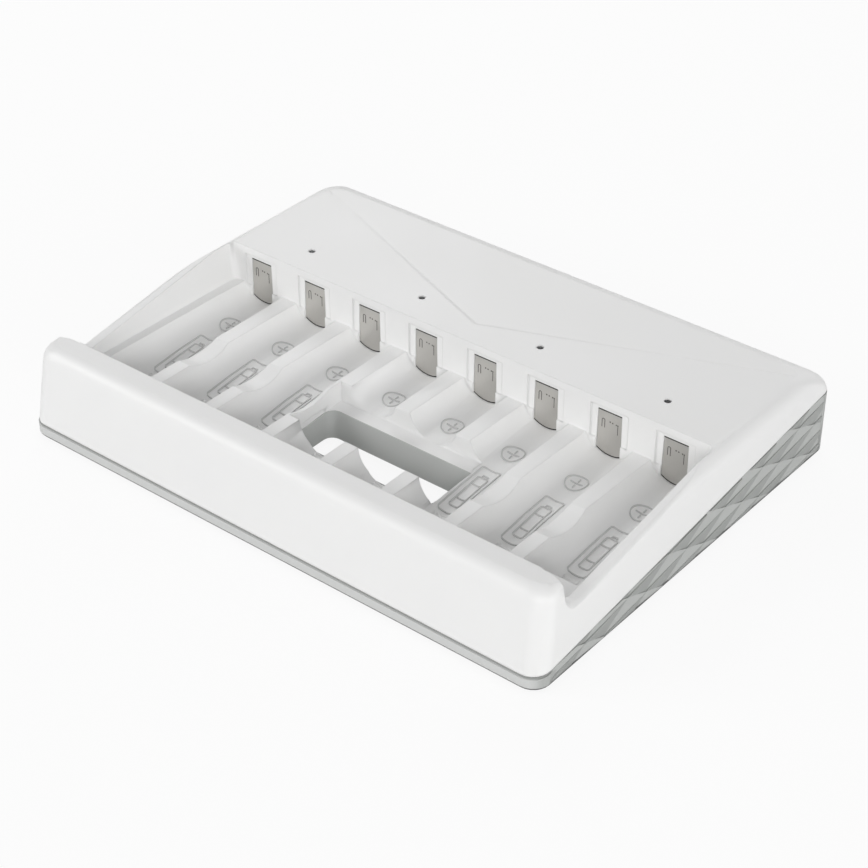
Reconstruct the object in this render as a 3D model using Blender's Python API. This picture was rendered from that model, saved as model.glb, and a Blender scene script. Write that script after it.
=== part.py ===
# Eight-slot charger for AA and AAA rechargeable cells: a white moulded top
# housing with eight battery troughs, on a grey base tray with a faceted skirt.
# Sizes are in millimetres and are turned into metres when a mesh is made.
# Local frame: x runs along the row of slots, y = 0 is the face of the contact
# wall with +y to the rear, and z = 0 is the underside of the base tray.

import math

import bpy
import bmesh
from mathutils import Matrix, Vector

MM = 0.001

# Cells and slots
SLOT_COUNT = 8
AA_RADIUS = 7.25
AA_LENGTH = 50.5
AA_NUB = 1.0
AAA_RADIUS = 5.25
AAA_SHORTFALL = 6.0         # an AAA cell is this much shorter than an AA cell
AAA_NUB = 0.8
END_ROOM = 2.0              # in front of the end of an AA cell
PAD_ROOM = 0.8              # in front of the end of an AAA cell
AA_AXIS_Z = 17.2            # both at the contact wall
AAA_AXIS_Z = 16.6
AA_SLOPE = 0.055            # fall of the troughs and grooves towards the front
AAA_SLOPE = 0.113
TROUGH_CLEARANCE = 0.65     # round an AA cell
GROOVE_CLEARANCE = 0.45     # round an AAA cell
RIDGE_Z = 14.2              # flat tops between the troughs

# Housing outline
BODY_WIDTH = 169.2
SIDE_MARGIN = 4.6           # from the row of slots to the side of the body
LIP_SHELF = 10.9            # level shelf between the troughs and the lip
LIP_DEPTH = 12.8
REAR_Y = 51.3
DECK_Z = 26.1
SIDE_DRAFT = 0.06           # half width lost for each millimetre above the seam
FRONT_LEAN = 0.175          # how far the front face leans back for each millimetre
FRONT_CORNER = 5.0
REAR_CORNER = 3.5
DECK_FILLET = 4.0
LIP_FILLET = 3.5
REAR_RUN = 11.5             # length of the soft rounding down to the rear
REAR_DROP = 8.2
WALL = 2.0
DECK_WALL = 2.2

# Battery bay, side rims and front lip
BAY_SIDE_WALL = 4.2
BAY_FLARE = 0.6             # the bay is this much wider at the deck
BAY_CORNER = 2.0
RIM_Z = 25.7                # outer rim height beside the contact wall
RIM_SLOPE = 0.17
RIM_CROWN = 1.4             # the rim is this much higher than its outer edge
RIM_ROUND = 1.6
NOTCH_REACH = 4.0           # the rim starts to turn up this far behind the lip
NOTCH_RISE = 7.6
NOTCH_TOP_RADIUS = 2.4
NOTCH_SWEEP = 3.4           # how far the lip's end curves forward from its inner edge
LIP_EDGE_DROP = 1.1
LIP_FALL = 6.6              # depth of the lip's gentle fall to its inner edge

# Seam between the housings
SEAM_Z = 12.3               # top of the tray at the contact wall
SEAM_SLOPE = 0.122
SEAM_GROOVE = 0.7
PART_GAP = 0.3
TONGUE_HEIGHT = 1.6
TONGUE_THICKNESS = 1.1
SHELL_EDGE = 2.0            # thickness of the top housing along the seam
HOLLOW_CORNER = 3.5

# Contact wall
CONTACT_WALL = 2.4
WINDOW_WIDTH = 7.7
WINDOW_TAPER = 0.2          # each side of a window leans in this much
WINDOW_SHIFT = -0.4
WINDOW_TOP_Z = 22.8
PANEL_WIDTH = 11.6
PANEL_DEPTH = 0.4
CONTACT_SKIN = 0.6          # left in front of the contact plates
PANEL_TOP_Z = 23.8

# Finger scoops, recess and through opening
SCOOP_RADIUS = 16.5
SCOOP_DEPTH = 1.8
SCOOP_SETBACK = 10.8        # middle of the scoops behind the front end of the grooves
RECESS_MARGIN = 5.4         # level floor behind the opening
OPENING_LEFT_X = -20.8
OPENING_RIGHT_X = 25.8
OPENING_SETBACK = 2.9       # behind the front end of the grooves
OPENING_DEPTH = 15.0
OPENING_CORNER = 4.0
COLLAR_WALL = 0.8
SHAFT_RELIEF = 2.0          # shallow recess round the opening on the underside
SHAFT_RELIEF_DEPTH = 1.0

# Deck details
CREASE_APEX_Y = 7.6
CREASE_DEPTH = 0.35
CREASE_RUN = 1.2
LAMP_SLOTS = 2              # one lamp for each pair of slots
LAMP_SHIFT = 0.6
LAMP_Y = 9.6
LAMP_RADIUS = 1.0

# Base tray
FLOOR = 2.0
TRAY_WALL = 3.2
TRAY_EDGE = 0.5
TRAY_EDGE_INSET = 0.3
FACET_ROW = 5.0
FACET_COLUMN = 9.6
FACET_DEPTH = 0.9
FOOT_RADIUS = 5.0
FOOT_THICKNESS = 1.6
FOOT_PROUD = 0.8
FOOT_INSET_X = 14.0
FOOT_INSET_Y = 10.0

# Screws and bosses
SCREW_RADIUS = 1.3
SCREW_HEAD_RADIUS = 2.6
SCREW_HEAD = 1.8
SCREW_SINK = 1.2
BOSS_RADIUS = 3.4
BOSS_STEP_Z = 5.0

# Contacts
STRIP = 0.4
PLATE_WIDTH = 9.0
TAIL_WIDTH = 3.0
LEAF_WIDTH = 7.6
PAD_WIDTH = 3.6
SEAT_Z = 5.8
PAD_RISE = 1.1              # AAA pad above its seat
LEAF_RISE = 5.4             # AA leaf above its seat
SPRING_PRELOAD = 0.6
BOSS_GAP = 0.12             # beside the raised face of a positive plate, in its window
BOSS_END_GAP = 0.35
BOSS_FACE_Y = 0.55          # where the raised face meets a cell
SOLDER_FOOT = 7.0

# Electronics
BOARD_Z = 5.0
BOARD_THICKNESS = 1.6
BOARD_FRONT_Y = 4.0
BOARD_REAR_GAP = 5.0
BOARD_SIDE_GAP = 8.6
BOARD_POST_INSET = 12.0
BOARD_POST_RADIUS = 2.4
STRIP_BOARD_Z = 2.3
STRIP_BOARD_THICKNESS = 1.0
STRIP_BOARD_DEPTH = 9.0
LOOM_WIDTH = 5.0
LOOM_THICKNESS = 0.8
SOCKET_WIDTH = 9.2
SOCKET_HEIGHT = 3.4
SOCKET_LENGTH = 7.4

HALF_WIDTH = BODY_WIDTH / 2
SLOT_PITCH = (BODY_WIDTH - 2 * SIDE_MARGIN) / SLOT_COUNT
BAY_HALF_WIDTH = HALF_WIDTH - BAY_SIDE_WALL
BOARD_HALF_WIDTH = HALF_WIDTH - BOARD_SIDE_GAP
AAA_LENGTH = AA_LENGTH - AAA_SHORTFALL
TROUGH_RADIUS = AA_RADIUS + TROUGH_CLEARANCE
GROOVE_RADIUS = AAA_RADIUS + GROOVE_CLEARANCE
GROOVE_FRONT_Y = -(AAA_LENGTH + PAD_ROOM)
TROUGH_FRONT_Y = -(AA_LENGTH + END_ROOM)
SCOOP_Y = GROOVE_FRONT_Y + SCOOP_SETBACK
OPENING_FRONT_Y = GROOVE_FRONT_Y + OPENING_SETBACK
OPENING_REAR_Y = OPENING_FRONT_Y + OPENING_DEPTH
RECESS_REAR_Y = OPENING_REAR_Y + RECESS_MARGIN
BAY_FRONT_Y = TROUGH_FRONT_Y - LIP_SHELF
FRONT_Y = BAY_FRONT_Y - LIP_DEPTH
NOTCH_Y = BAY_FRONT_Y + NOTCH_REACH
LIP_CROWN_Y = BAY_FRONT_Y - LIP_FALL
STRIP_BOARD_REAR_Y = TROUGH_FRONT_Y + 3.4
SLOT_X = [(i - (SLOT_COUNT - 1) / 2) * SLOT_PITCH for i in range(SLOT_COUNT)]
RIDGE_X = [x + SLOT_PITCH / 2 for x in SLOT_X[:-1]]
LAMP_X = [(SLOT_X[i] + SLOT_X[i + 1]) / 2 + LAMP_SHIFT for i in range(0, SLOT_COUNT, LAMP_SLOTS)]
BOARD_REAR_Y = REAR_Y - BOARD_REAR_GAP
CROWN_END_Y = REAR_Y - REAR_RUN
BIG = 60.0
ARC_STEPS = 6


def clear_scene():
    for item in list(bpy.data.objects):
        bpy.data.objects.remove(item, do_unlink=True)


def material(name, colour, roughness, metallic=0.0):
    mat = bpy.data.materials.new(name)
    mat.use_nodes = True
    shader = mat.node_tree.nodes["Principled BSDF"]
    shader.inputs["Base Color"].default_value = (*colour, 1.0)
    shader.inputs["Roughness"].default_value = roughness
    shader.inputs["Metallic"].default_value = metallic
    return mat


def seam_z(y):
    return SEAM_Z + SEAM_SLOPE * y


def trough_floor_z(y):
    """Lowest line of the AA trough, which falls towards the front."""
    return AA_AXIS_Z - TROUGH_RADIUS + AA_SLOPE * y


def groove_floor_z(y):
    """Lowest line of the AAA groove, which falls faster."""
    return AAA_AXIS_Z - GROOVE_RADIUS + AAA_SLOPE * y


def arc(cx, cy, radius, start, end, steps=ARC_STEPS):
    """Points on an arc, with the angles in degrees."""
    angles = [math.radians(start + (end - start) * i / steps) for i in range(steps + 1)]
    return [(cx + radius * math.cos(a), cy + radius * math.sin(a)) for a in angles]


def rounded_outline(x0, x1, y0, y1, radius, steps=ARC_STEPS):
    """Plan outline of a rectangle with round corners, anticlockwise."""
    points = arc(x1 - radius, y0 + radius, radius, -90, 0, steps)
    points += arc(x1 - radius, y1 - radius, radius, 0, 90, steps)
    points += arc(x0 + radius, y1 - radius, radius, 90, 180, steps)
    points += arc(x0 + radius, y0 + radius, radius, 180, 270, steps)
    return points


def loft(sections, name, lean=None):
    """Closed mesh through loops of equally many points; lean picks each row's diagonal."""
    bm = bmesh.new()
    rings = [[bm.verts.new(Vector(p) * MM) for p in section] for section in sections]
    for k, (low, high) in enumerate(zip(rings, rings[1:])):
        for i in range(len(low)):
            j = (i + 1) % len(low)
            if lean is None:
                bm.faces.new((low[i], low[j], high[j], high[i]))
            elif lean(k) == (low[i].co.x > 0):
                bm.faces.new((low[i], low[j], high[j]))
                bm.faces.new((low[i], high[j], high[i]))
            else:
                bm.faces.new((low[i], low[j], high[i]))
                bm.faces.new((low[j], high[j], high[i]))
    bmesh.ops.connect_verts_nonplanar(bm, angle_limit=math.radians(0.05), faces=bm.faces)
    bm.faces.new(list(reversed(rings[0])))
    bm.faces.new(rings[-1])
    bmesh.ops.recalc_face_normals(bm, faces=bm.faces)
    mesh = bpy.data.meshes.new(name)
    bm.to_mesh(mesh)
    bm.free()
    return mesh


def prism(outline, axis, low, high, name):
    """An outline pushed along an axis: X takes (y, z), Y takes (x, z), Z takes (x, y)."""
    def place(a, b, depth):
        return {"X": (depth, a, b), "Y": (a, depth, b), "Z": (a, b, depth)}[axis]
    return loft([[place(a, b, d) for a, b in outline] for d in (low, high)], name)


def box(x0, x1, y0, y1, z0, z1, name):
    return prism([(x0, y0), (x1, y0), (x1, y1), (x0, y1)], "Z", z0, z1, name)


def cylinder(x, y, z0, z1, radius, name, steps=20):
    outline = [(x + radius * math.cos(math.tau * i / steps),
                y + radius * math.sin(math.tau * i / steps)) for i in range(steps)]
    return prism(outline, "Z", z0, z1, name)


def merged(meshes, name):
    """Several closed meshes in one mesh, each still a body of its own."""
    bm = bmesh.new()
    for mesh in meshes:
        bm.from_mesh(mesh)
        bpy.data.meshes.remove(mesh)
    result = bpy.data.meshes.new(name)
    bm.to_mesh(result)
    bm.free()
    return result


def add(mesh, name, mat=None, smooth=False):
    item = bpy.data.objects.new(name, mesh)
    bpy.context.scene.collection.objects.link(item)
    item.parent = FRAME
    if mat:
        mesh.materials.append(mat)
    if smooth:
        mesh.shade_smooth()
        mesh.set_sharp_from_angle(angle=math.radians(35))
    return item


def boolean(target, mesh, operation="DIFFERENCE"):
    """Cut a mesh from a piece, or join it on, with a live Boolean modifier."""
    tool = add(mesh, f"{target.name}_tool_{len(target.modifiers) + 1:02d}")
    tool.hide_render = True
    tool.display_type = "WIRE"
    step = target.modifiers.new(tool.name, "BOOLEAN")
    step.operation = operation
    step.solver = "EXACT"
    step.object = tool
    return tool


def circle_drop(reach, radius):
    """How far a round edge has fallen back at one height above its start."""
    reach = min(max(reach, 0.0), radius)
    return radius - math.sqrt(radius ** 2 - reach ** 2)


def front_face_y(z):
    """Front of the top housing: it leans back and rounds over into the lip."""
    base = FRONT_Y + FRONT_LEAN * max(z - seam_z(FRONT_Y), 0.0)
    return base + circle_drop(z - (DECK_Z - LIP_FILLET), LIP_FILLET)


def rear_face_y(z, thickness=0.0):
    """Rear of the top housing: an ellipse that starts level with the deck."""
    drop, run = REAR_DROP - thickness, REAR_RUN - thickness
    share = min(max(z - (DECK_Z - REAR_DROP), 0.0) / drop, 1.0)
    return CROWN_END_Y + run * math.sqrt(1.0 - share ** 2)


def side_face_x(y, z):
    """Half width of the top housing: a little draft above the seam, then the deck fillet."""
    return HALF_WIDTH - SIDE_DRAFT * max(z - seam_z(y), 0.0) - circle_drop(z - (DECK_Z - DECK_FILLET), DECK_FILLET)


def body_plan(z, thickness=0.0):
    """Plan outline of the top housing at one height, or of its hollow."""
    front, rear = front_face_y(z) + thickness, rear_face_y(z, thickness)
    turn = REAR_CORNER + 0.5 * (REAR_Y - rear_face_y(z)) - thickness
    nose = FRONT_CORNER - thickness
    half = HALF_WIDTH
    points = arc(half - nose, front + nose, nose, -90, 0) + arc(half - turn, rear - turn, turn, 0, 90)
    points += [(-x, y) for x, y in reversed(points)]
    result = []
    for x, y in points:
        inset = half - side_face_x(y, z) + thickness
        result.append((x - math.copysign(inset, x), y, z))
    return result


def top_body():
    """Solid outer form of the top housing, cut off along the seam."""
    levels = [FLOOR, DECK_Z - REAR_DROP]
    levels += [DECK_Z - REAR_DROP + REAR_DROP * math.sin(math.radians(a)) for a in (12, 24, 35, 45, 54, 63, 71, 78, 84, 90)]
    body = add(loft([body_plan(z) for z in levels], "top_housing"), "top_housing", smooth=True)
    y0, y1 = FRONT_Y - 10, REAR_Y + 10
    lift = SEAM_GROOVE
    outline = [(y0, -BIG), (y1, -BIG), (y1, seam_z(y1) + lift), (y0, seam_z(y0) + lift)]
    boolean(body, prism(outline, "X", -HALF_WIDTH - 10, HALF_WIDTH + 10, "below_seam"))
    return body


def tub_block():
    """Block that the battery tub, contact wall and lip wall are cut from."""
    half = HALF_WIDTH - SHELL_EDGE * 0.7
    top = DECK_Z - 0.9
    outline = [(-half, FLOOR), (half, FLOOR)]
    outline += arc(half - DECK_FILLET, top - DECK_FILLET, DECK_FILLET, 0, 90)
    outline += arc(-half + DECK_FILLET, top - DECK_FILLET, DECK_FILLET, 90, 180)
    return prism(outline, "Y", BAY_FRONT_Y - WALL, CONTACT_WALL, "tub")


def bay_tool():
    """The open bay above the ridges, with round corners and a little flare."""
    sections = []
    for z in (RIDGE_Z, DECK_Z, DECK_Z + BIG):
        flare = BAY_FLARE * (z - RIDGE_Z) / (DECK_Z - RIDGE_Z)
        half = BAY_HALF_WIDTH + min(flare, BAY_FLARE)
        sections.append([(x, y, z) for x, y in rounded_outline(-half, half, BAY_FRONT_Y, 0.0, BAY_CORNER, 4)])
    return loft(sections, "bay")


def crown_tool():
    """Lowers the lip gently towards its inner edge."""
    slope = LIP_EDGE_DROP / (BAY_FRONT_Y - LIP_CROWN_Y)
    far = BAY_FRONT_Y + 3.0
    outline = [(LIP_CROWN_Y, DECK_Z + 0.01), (far, DECK_Z - slope * (far - LIP_CROWN_Y)), (far, DECK_Z + 5.0),
               (LIP_CROWN_Y, DECK_Z + 5.0)]
    return prism(outline, "X", -HALF_WIDTH, HALF_WIDTH, "crown")


def rim_profile(shift, lift):
    """Side view of the rim line and its rise into the lip, as (y, z) points."""
    start_y = (DECK_Z - RIM_Z) / RIM_SLOPE + 6.0
    rise_z = RIM_Z + RIM_SLOPE * NOTCH_Y
    foot = NOTCH_RISE * 0.62
    lean = math.radians(10)
    points = [(start_y, RIM_Z + RIM_SLOPE * start_y + lift), (NOTCH_Y, rise_z + lift)]
    centre_z = rise_z + foot
    for i in range(1, 9):
        turn = (math.pi / 2 - lean) * i / 8
        points.append((NOTCH_Y - foot * math.sin(turn) - shift, centre_z - foot * math.cos(turn) + lift))
    last_y, last_z = points[-1]
    straight = DECK_Z - NOTCH_TOP_RADIUS * 0.8 - last_z
    points.append((last_y - straight * math.tan(lean), last_z + straight))
    y, z = points[-1]
    for i in range(1, 6):
        turn = lean + (math.pi / 2 - lean) * i / 5
        points.append((y - NOTCH_TOP_RADIUS * (math.cos(lean) - math.cos(turn)),
                       z + NOTCH_TOP_RADIUS * (math.sin(turn) - math.sin(lean))))
    points.append((points[-1][0] - 0.5, DECK_Z + 4.0))
    points.append((start_y, DECK_Z + 8.0))
    return points


def rim_tool(side):
    """Trims one side wall down to its rounded sloping rim and shapes the end of the lip."""
    inner = BAY_HALF_WIDTH - 4.5
    edge = HALF_WIDTH - SIDE_DRAFT * WALL * 2
    stations = [(inner, 0.0), (inner + 3.4, 0.25), (edge - RIM_ROUND, 0.7)]
    stations += [(edge - RIM_ROUND + RIM_ROUND * math.sin(math.radians(a)), 0.7 + 0.3 * math.sin(math.radians(a)))
                 for a in (30, 55, 75, 90)]
    sections = []
    for x, share in stations:
        lift = RIM_CROWN - RIM_CROWN * circle_drop(x - (edge - RIM_ROUND), RIM_ROUND) / RIM_ROUND
        sections.append([(side * x, y, z) for y, z in rim_profile(NOTCH_SWEEP * share ** 2 - 1.2, lift)])
    sections.append([(side * (HALF_WIDTH + 5), y, z) for _, y, z in sections[-1]])
    return loft(sections, "rim")


def channels(radius, floor_z, front, rear, name, steps):
    """Eight round-bottomed channels along y that fall towards the front."""
    bodies = []
    for x in SLOT_X:
        sections = []
        for y in (front, rear):
            axis_z = floor_z(y) + radius
            loop = arc(x, axis_z, radius, 180, 360, steps)
            loop += [(x + radius, axis_z + BIG), (x - radius, axis_z + BIG)]
            sections.append([(px, y, pz) for px, pz in loop])
        bodies.append(loft(sections, name))
    return merged(bodies, name)


def scoop_tool():
    """One long cross cylinder that dips into every ridge for a finger."""
    outline = arc(SCOOP_Y, RIDGE_Z - SCOOP_DEPTH + SCOOP_RADIUS, SCOOP_RADIUS, 180, 360, 28)
    first, last = SLOT_X[0], SLOT_X[-1]
    return prism(outline, "X", first, last, "scoop")


def window_outline(x, side_gap=0.0, end_gap=0.0):
    """Front view of a window, with the curve of the trough as its sill."""
    half, radius = WINDOW_WIDTH / 2 - side_gap, TROUGH_RADIUS - end_gap
    middle = x + WINDOW_SHIFT
    start, end = (270 + math.degrees(math.asin((WINDOW_SHIFT + s * half) / radius)) for s in (-1, 1))
    top = WINDOW_TOP_Z - end_gap
    return arc(x, AA_AXIS_Z, radius, start, end, 8) + [(middle + half - WINDOW_TAPER, top),
                                                       (middle - half + WINDOW_TAPER, top)]


def window_tool():
    bodies = [prism(window_outline(x), "Y", -1.0, CONTACT_WALL + 1.0, "window") for x in SLOT_X]
    return merged(bodies, "windows")


def plate_pockets():
    """Rooms behind the windows, open below, that the contact plates are slid into."""
    half = PLATE_WIDTH / 2 + PART_GAP
    y0 = PANEL_DEPTH + CONTACT_SKIN
    bodies = [box(x + WINDOW_SHIFT - half, x + WINDOW_SHIFT + half, y0, CONTACT_WALL + 1.0, -2.0,
                  DECK_Z - DECK_WALL, "pocket") for x in SLOT_X]
    return merged(bodies, "pockets")


def panel_tool():
    bodies = [box(x + WINDOW_SHIFT - PANEL_WIDTH / 2, x + WINDOW_SHIFT + PANEL_WIDTH / 2, -1.0, PANEL_DEPTH,
                  RIDGE_Z - 0.5, PANEL_TOP_Z, "panel") for x in SLOT_X]
    return merged(bodies, "panels")


def crease_tool():
    """Shallow triangle sunk into the deck, open to the rear, with sloping edges."""
    far = REAR_Y + 2.0
    slope = (HALF_WIDTH - DECK_FILLET) / (CROWN_END_Y - CREASE_APEX_Y)
    def triangle(apex, z):
        return [(0.0, apex, z), (slope * (far - apex), far, z), (-slope * (far - apex), far, z)]
    low = DECK_Z - CREASE_DEPTH
    return loft([triangle(CREASE_APEX_Y + CREASE_RUN, low), triangle(CREASE_APEX_Y, DECK_Z + 0.001),
                 triangle(CREASE_APEX_Y, DECK_Z + 3.0)], "crease")


def shell_hollow():
    """Inside of the top housing, one wall in from its outer form."""
    top = DECK_Z - DECK_WALL
    start = DECK_Z - REAR_DROP
    levels = [-5.0, seam_z(FRONT_Y), start] + [start + (top - start) * a for a in (0.3, 0.55, 0.75, 0.9, 1.0)]
    sections = []
    for z in levels:
        outer = min(z + (WALL if z > start else 0.0), DECK_Z)
        loop = body_plan(max(outer, FLOOR), SHELL_EDGE)
        sections.append([(x, y, z) for x, y, _ in loop])
    return loft(sections, "hollow")


def under_bay_tool():
    """Room under the tub, which follows the troughs, the ledge and the shelf."""
    half = HALF_WIDTH - SHELL_EDGE
    lip_back = BAY_FRONT_Y - WALL
    floor = groove_floor_z(GROOVE_FRONT_Y) - WALL
    meet_y = (trough_floor_z(0.0) - groove_floor_z(0.0)) / (AAA_SLOPE - AA_SLOPE)
    seat_y = TROUGH_FRONT_Y - WALL
    profile = [(CONTACT_WALL + 1.0, -5.0), (CONTACT_WALL + 1.0, trough_floor_z(0.0) - WALL),
               (meet_y, trough_floor_z(meet_y) - WALL),
               (GROOVE_FRONT_Y - WALL, floor), (GROOVE_FRONT_Y - WALL, SEAT_Z - WALL),
               (seat_y, SEAT_Z - WALL), (seat_y, RIDGE_Z - WALL), (lip_back, RIDGE_Z - WALL),
               (lip_back, seam_z(lip_back) + 1.0), (lip_back - 1.0, seam_z(lip_back) + 1.0), (lip_back - 1.0, -5.0)]
    return prism(profile, "X", -half, half, "under_bay")


def ridge_cores(target):
    """Cores under the ridges and shoulders, so that the walls keep one thickness."""
    top = RIDGE_Z - SCOOP_DEPTH - WALL
    rear, front = -0.2, TROUGH_FRONT_Y + 0.5
    flank = TROUGH_RADIUS + WALL
    def half_at(z):
        return SLOT_PITCH / 2 - math.sqrt(flank ** 2 - (AA_AXIS_Z + AA_SLOPE * GROOVE_FRONT_Y - z) ** 2)
    low_half = SLOT_PITCH / 2 - GROOVE_RADIUS - WALL + 1.2
    bodies = []
    for x in RIDGE_X:
        beside_opening = OPENING_LEFT_X - SLOT_PITCH / 2 < x < OPENING_RIGHT_X + SLOT_PITCH / 2
        front_y = RECESS_REAR_Y + WALL if beside_opening else front
        outline = [(x - low_half, 1.0), (x + low_half, 1.0), (x + half_at(top), top), (x - half_at(top), top)]
        bodies.append(prism(outline, "Y", front_y, rear, "core"))
    boolean(target, merged(bodies, "cores"))
    z_top = RIDGE_Z - WALL
    inner = SLOT_X[-1] + SLOT_PITCH / 2 - half_at(z_top)
    outer = HALF_WIDTH - SHELL_EDGE
    reach = WALL + HOLLOW_CORNER
    bodies = [box(min(s * inner, s * outer), max(s * inner, s * outer), BAY_FRONT_Y - reach,
                  CONTACT_WALL + reach, -4.0, z_top, "side_core") for s in (-1, 1)]
    boolean(target, merged(bodies, "side_cores"))
    y0, y1 = FRONT_Y - 5, REAR_Y + 5
    lift = SEAM_GROOVE
    outline = [(y0, -BIG), (y1, -BIG), (y1, seam_z(y1) + lift), (y0, seam_z(y0) + lift)]
    bodies = [prism(outline, "X", *sorted((s * inner, s * (HALF_WIDTH + 5))), "skirt") for s in (-1, 1)]
    boolean(target, merged(bodies, "skirts"))


def screw_places():
    rear_y = CROWN_END_Y - 2.0
    front_y = BAY_FRONT_Y - WALL - BOSS_RADIUS + 0.3
    side = HALF_WIDTH - 13.0
    return [(-side, front_y), (0.0, front_y), (side, front_y),
            (-side + 2, rear_y), (12.0, rear_y), (side - 2, rear_y)]


def boss_top_z(y):
    return DECK_Z - DECK_WALL + 0.6 if y > 0 else DECK_Z - LIP_EDGE_DROP - DECK_WALL + 0.4


def collar_plan(grow):
    return rounded_outline(OPENING_LEFT_X - grow, OPENING_RIGHT_X + grow,
                           OPENING_FRONT_Y - grow, OPENING_REAR_Y + grow, OPENING_CORNER + grow)


def make_top_housing(white):
    shell = top_body()
    shell.data.materials.append(white)
    boolean(shell, shell_hollow())
    boolean(shell, tub_block(), "UNION")
    boolean(shell, bay_tool())
    for side in (-1, 1):
        boolean(shell, rim_tool(side))
    boolean(shell, crown_tool())
    boolean(shell, under_bay_tool())
    bosses = [cylinder(x, y, BOSS_STEP_Z + PART_GAP, boss_top_z(y), BOSS_RADIUS - 0.4, "boss")
              for x, y in screw_places()]
    boolean(shell, merged(bosses, "bosses"), "UNION")
    ridge_cores(shell)
    boolean(shell, channels(TROUGH_RADIUS, trough_floor_z, TROUGH_FRONT_Y, -0.02, "troughs", 22))
    boolean(shell, channels(GROOVE_RADIUS, groove_floor_z, GROOVE_FRONT_Y, -3.0, "grooves", 16))
    boolean(shell, scoop_tool())
    low, high = OPENING_FRONT_Y + 0.01, RECESS_REAR_Y
    level = [(low, trough_floor_z(low)), (high, trough_floor_z(high)), (high, DECK_Z + 9), (low, DECK_Z + 9)]
    boolean(shell, prism(level, "X", OPENING_LEFT_X - 0.5, OPENING_RIGHT_X + 0.4, "recess"))
    boolean(shell, prism(collar_plan(0.0), "Z", -BIG, BIG, "opening"))
    boolean(shell, panel_tool())
    boolean(shell, plate_pockets())
    boolean(shell, window_tool())
    half = LEAF_WIDTH / 2 + PART_GAP
    neck = PAD_WIDTH / 2 + PART_GAP
    rear_y = pad_place() + STRIP / 2 + PART_GAP
    step_y = GROOVE_FRONT_Y - 1.0
    seats = [prism([(x - half, TROUGH_FRONT_Y + 0.02), (x + half, TROUGH_FRONT_Y + 0.02), (x + half, step_y),
                    (x + neck, step_y), (x + neck, rear_y), (x - neck, rear_y), (x - neck, step_y),
                    (x - half, step_y)], "Z", SEAT_Z, RIDGE_Z + 2,
                 "seat") for x in SLOT_X]
    boolean(shell, merged(seats, "seats"))
    slits = [box(x - TAIL_WIDTH / 2 - PART_GAP, x + TAIL_WIDTH / 2 + PART_GAP, TROUGH_FRONT_Y + 0.1,
                 TROUGH_FRONT_Y + 1.4, -2.0, SEAT_Z + 1, "slit") for x in SLOT_X]
    boolean(shell, merged(slits, "slits"))
    boolean(shell, crease_tool())
    boolean(shell, merged([cylinder(x, LAMP_Y, DECK_Z - 9, DECK_Z + 5, LAMP_RADIUS, "lamp_hole", 16)
                           for x in LAMP_X], "lamp_holes"))
    pilots = [cylinder(x, y, BOSS_STEP_Z - 1, BOSS_STEP_Z + 10, SCREW_RADIUS + 0.1, "pilot", 14)
              for x, y in screw_places()]
    boolean(shell, merged(pilots, "pilots"))
    return shell


def relief(i, j, columns):
    """Height of one point of the faceted skirt, in three steps."""
    if i in (0, columns) or j == 0:
        return 0.0
    return FACET_DEPTH * ((i + 2 * j) % 3 - 2) / 2


def tray_body():
    """Solid tray whose two sides carry a low relief of slanting triangles."""
    y0, y1 = FRONT_Y + FRONT_CORNER + 1.0, REAR_Y - REAR_CORNER - 0.5
    columns = round((y1 - y0) / FACET_COLUMN)
    step = (y1 - y0) / columns
    rows = math.ceil((seam_z(REAR_Y) - TRAY_EDGE) / FACET_ROW) + 1
    levels = [(0.0, TRAY_EDGE_INSET, 0)] + [(TRAY_EDGE + j * FACET_ROW, 0.0, j) for j in range(rows)]
    rings = []
    for z, inset, j in levels:
        half = HALF_WIDTH - inset
        front, rear = FRONT_Y + inset, REAR_Y - inset
        shift = 0.5 * step if j % 2 else 0.0
        side = [(half + relief(i, j, columns), y0 + i * step + (shift if 0 < i < columns else 0.0))
                for i in range(columns + 1)]
        nose, turn = FRONT_CORNER - inset, REAR_CORNER - inset
        right = arc(half - nose, front + nose, nose, -90, 0) + side
        right += arc(half - turn, rear - turn, turn, 0, 90)
        ring = right + [(-x, y) for x, y in reversed(right)]
        rings.append([(x, y, z) for x, y in ring])
    return loft(rings, "base_housing", lean=lambda k: levels[k][2] % 2 == 1)


def tray_block(inset, z0, z1, name, front_extra=0.0):
    """Block one inset in from the tray's outer form."""
    half = HALF_WIDTH - inset
    nose, turn = max(FRONT_CORNER - inset, 1.5), max(REAR_CORNER - inset, 1.0)
    front, rear = FRONT_Y + inset + front_extra, REAR_Y - inset
    outline = arc(half - nose, front + nose, nose, -90, 0) + arc(half - turn, rear - turn, turn, 0, 90)
    outline += [(-x, y) for x, y in reversed(outline)]
    return prism(outline, "Z", z0, z1, name)


def above_seam(lift):
    """Everything above the seam plane, raised by lift."""
    y0, y1 = FRONT_Y - 10, REAR_Y + 10
    outline = [(y0, seam_z(y0) + lift), (y1, seam_z(y1) + lift), (y1, BIG), (y0, BIG)]
    return prism(outline, "X", -HALF_WIDTH - 10, HALF_WIDTH + 10, "above_seam")


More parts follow.
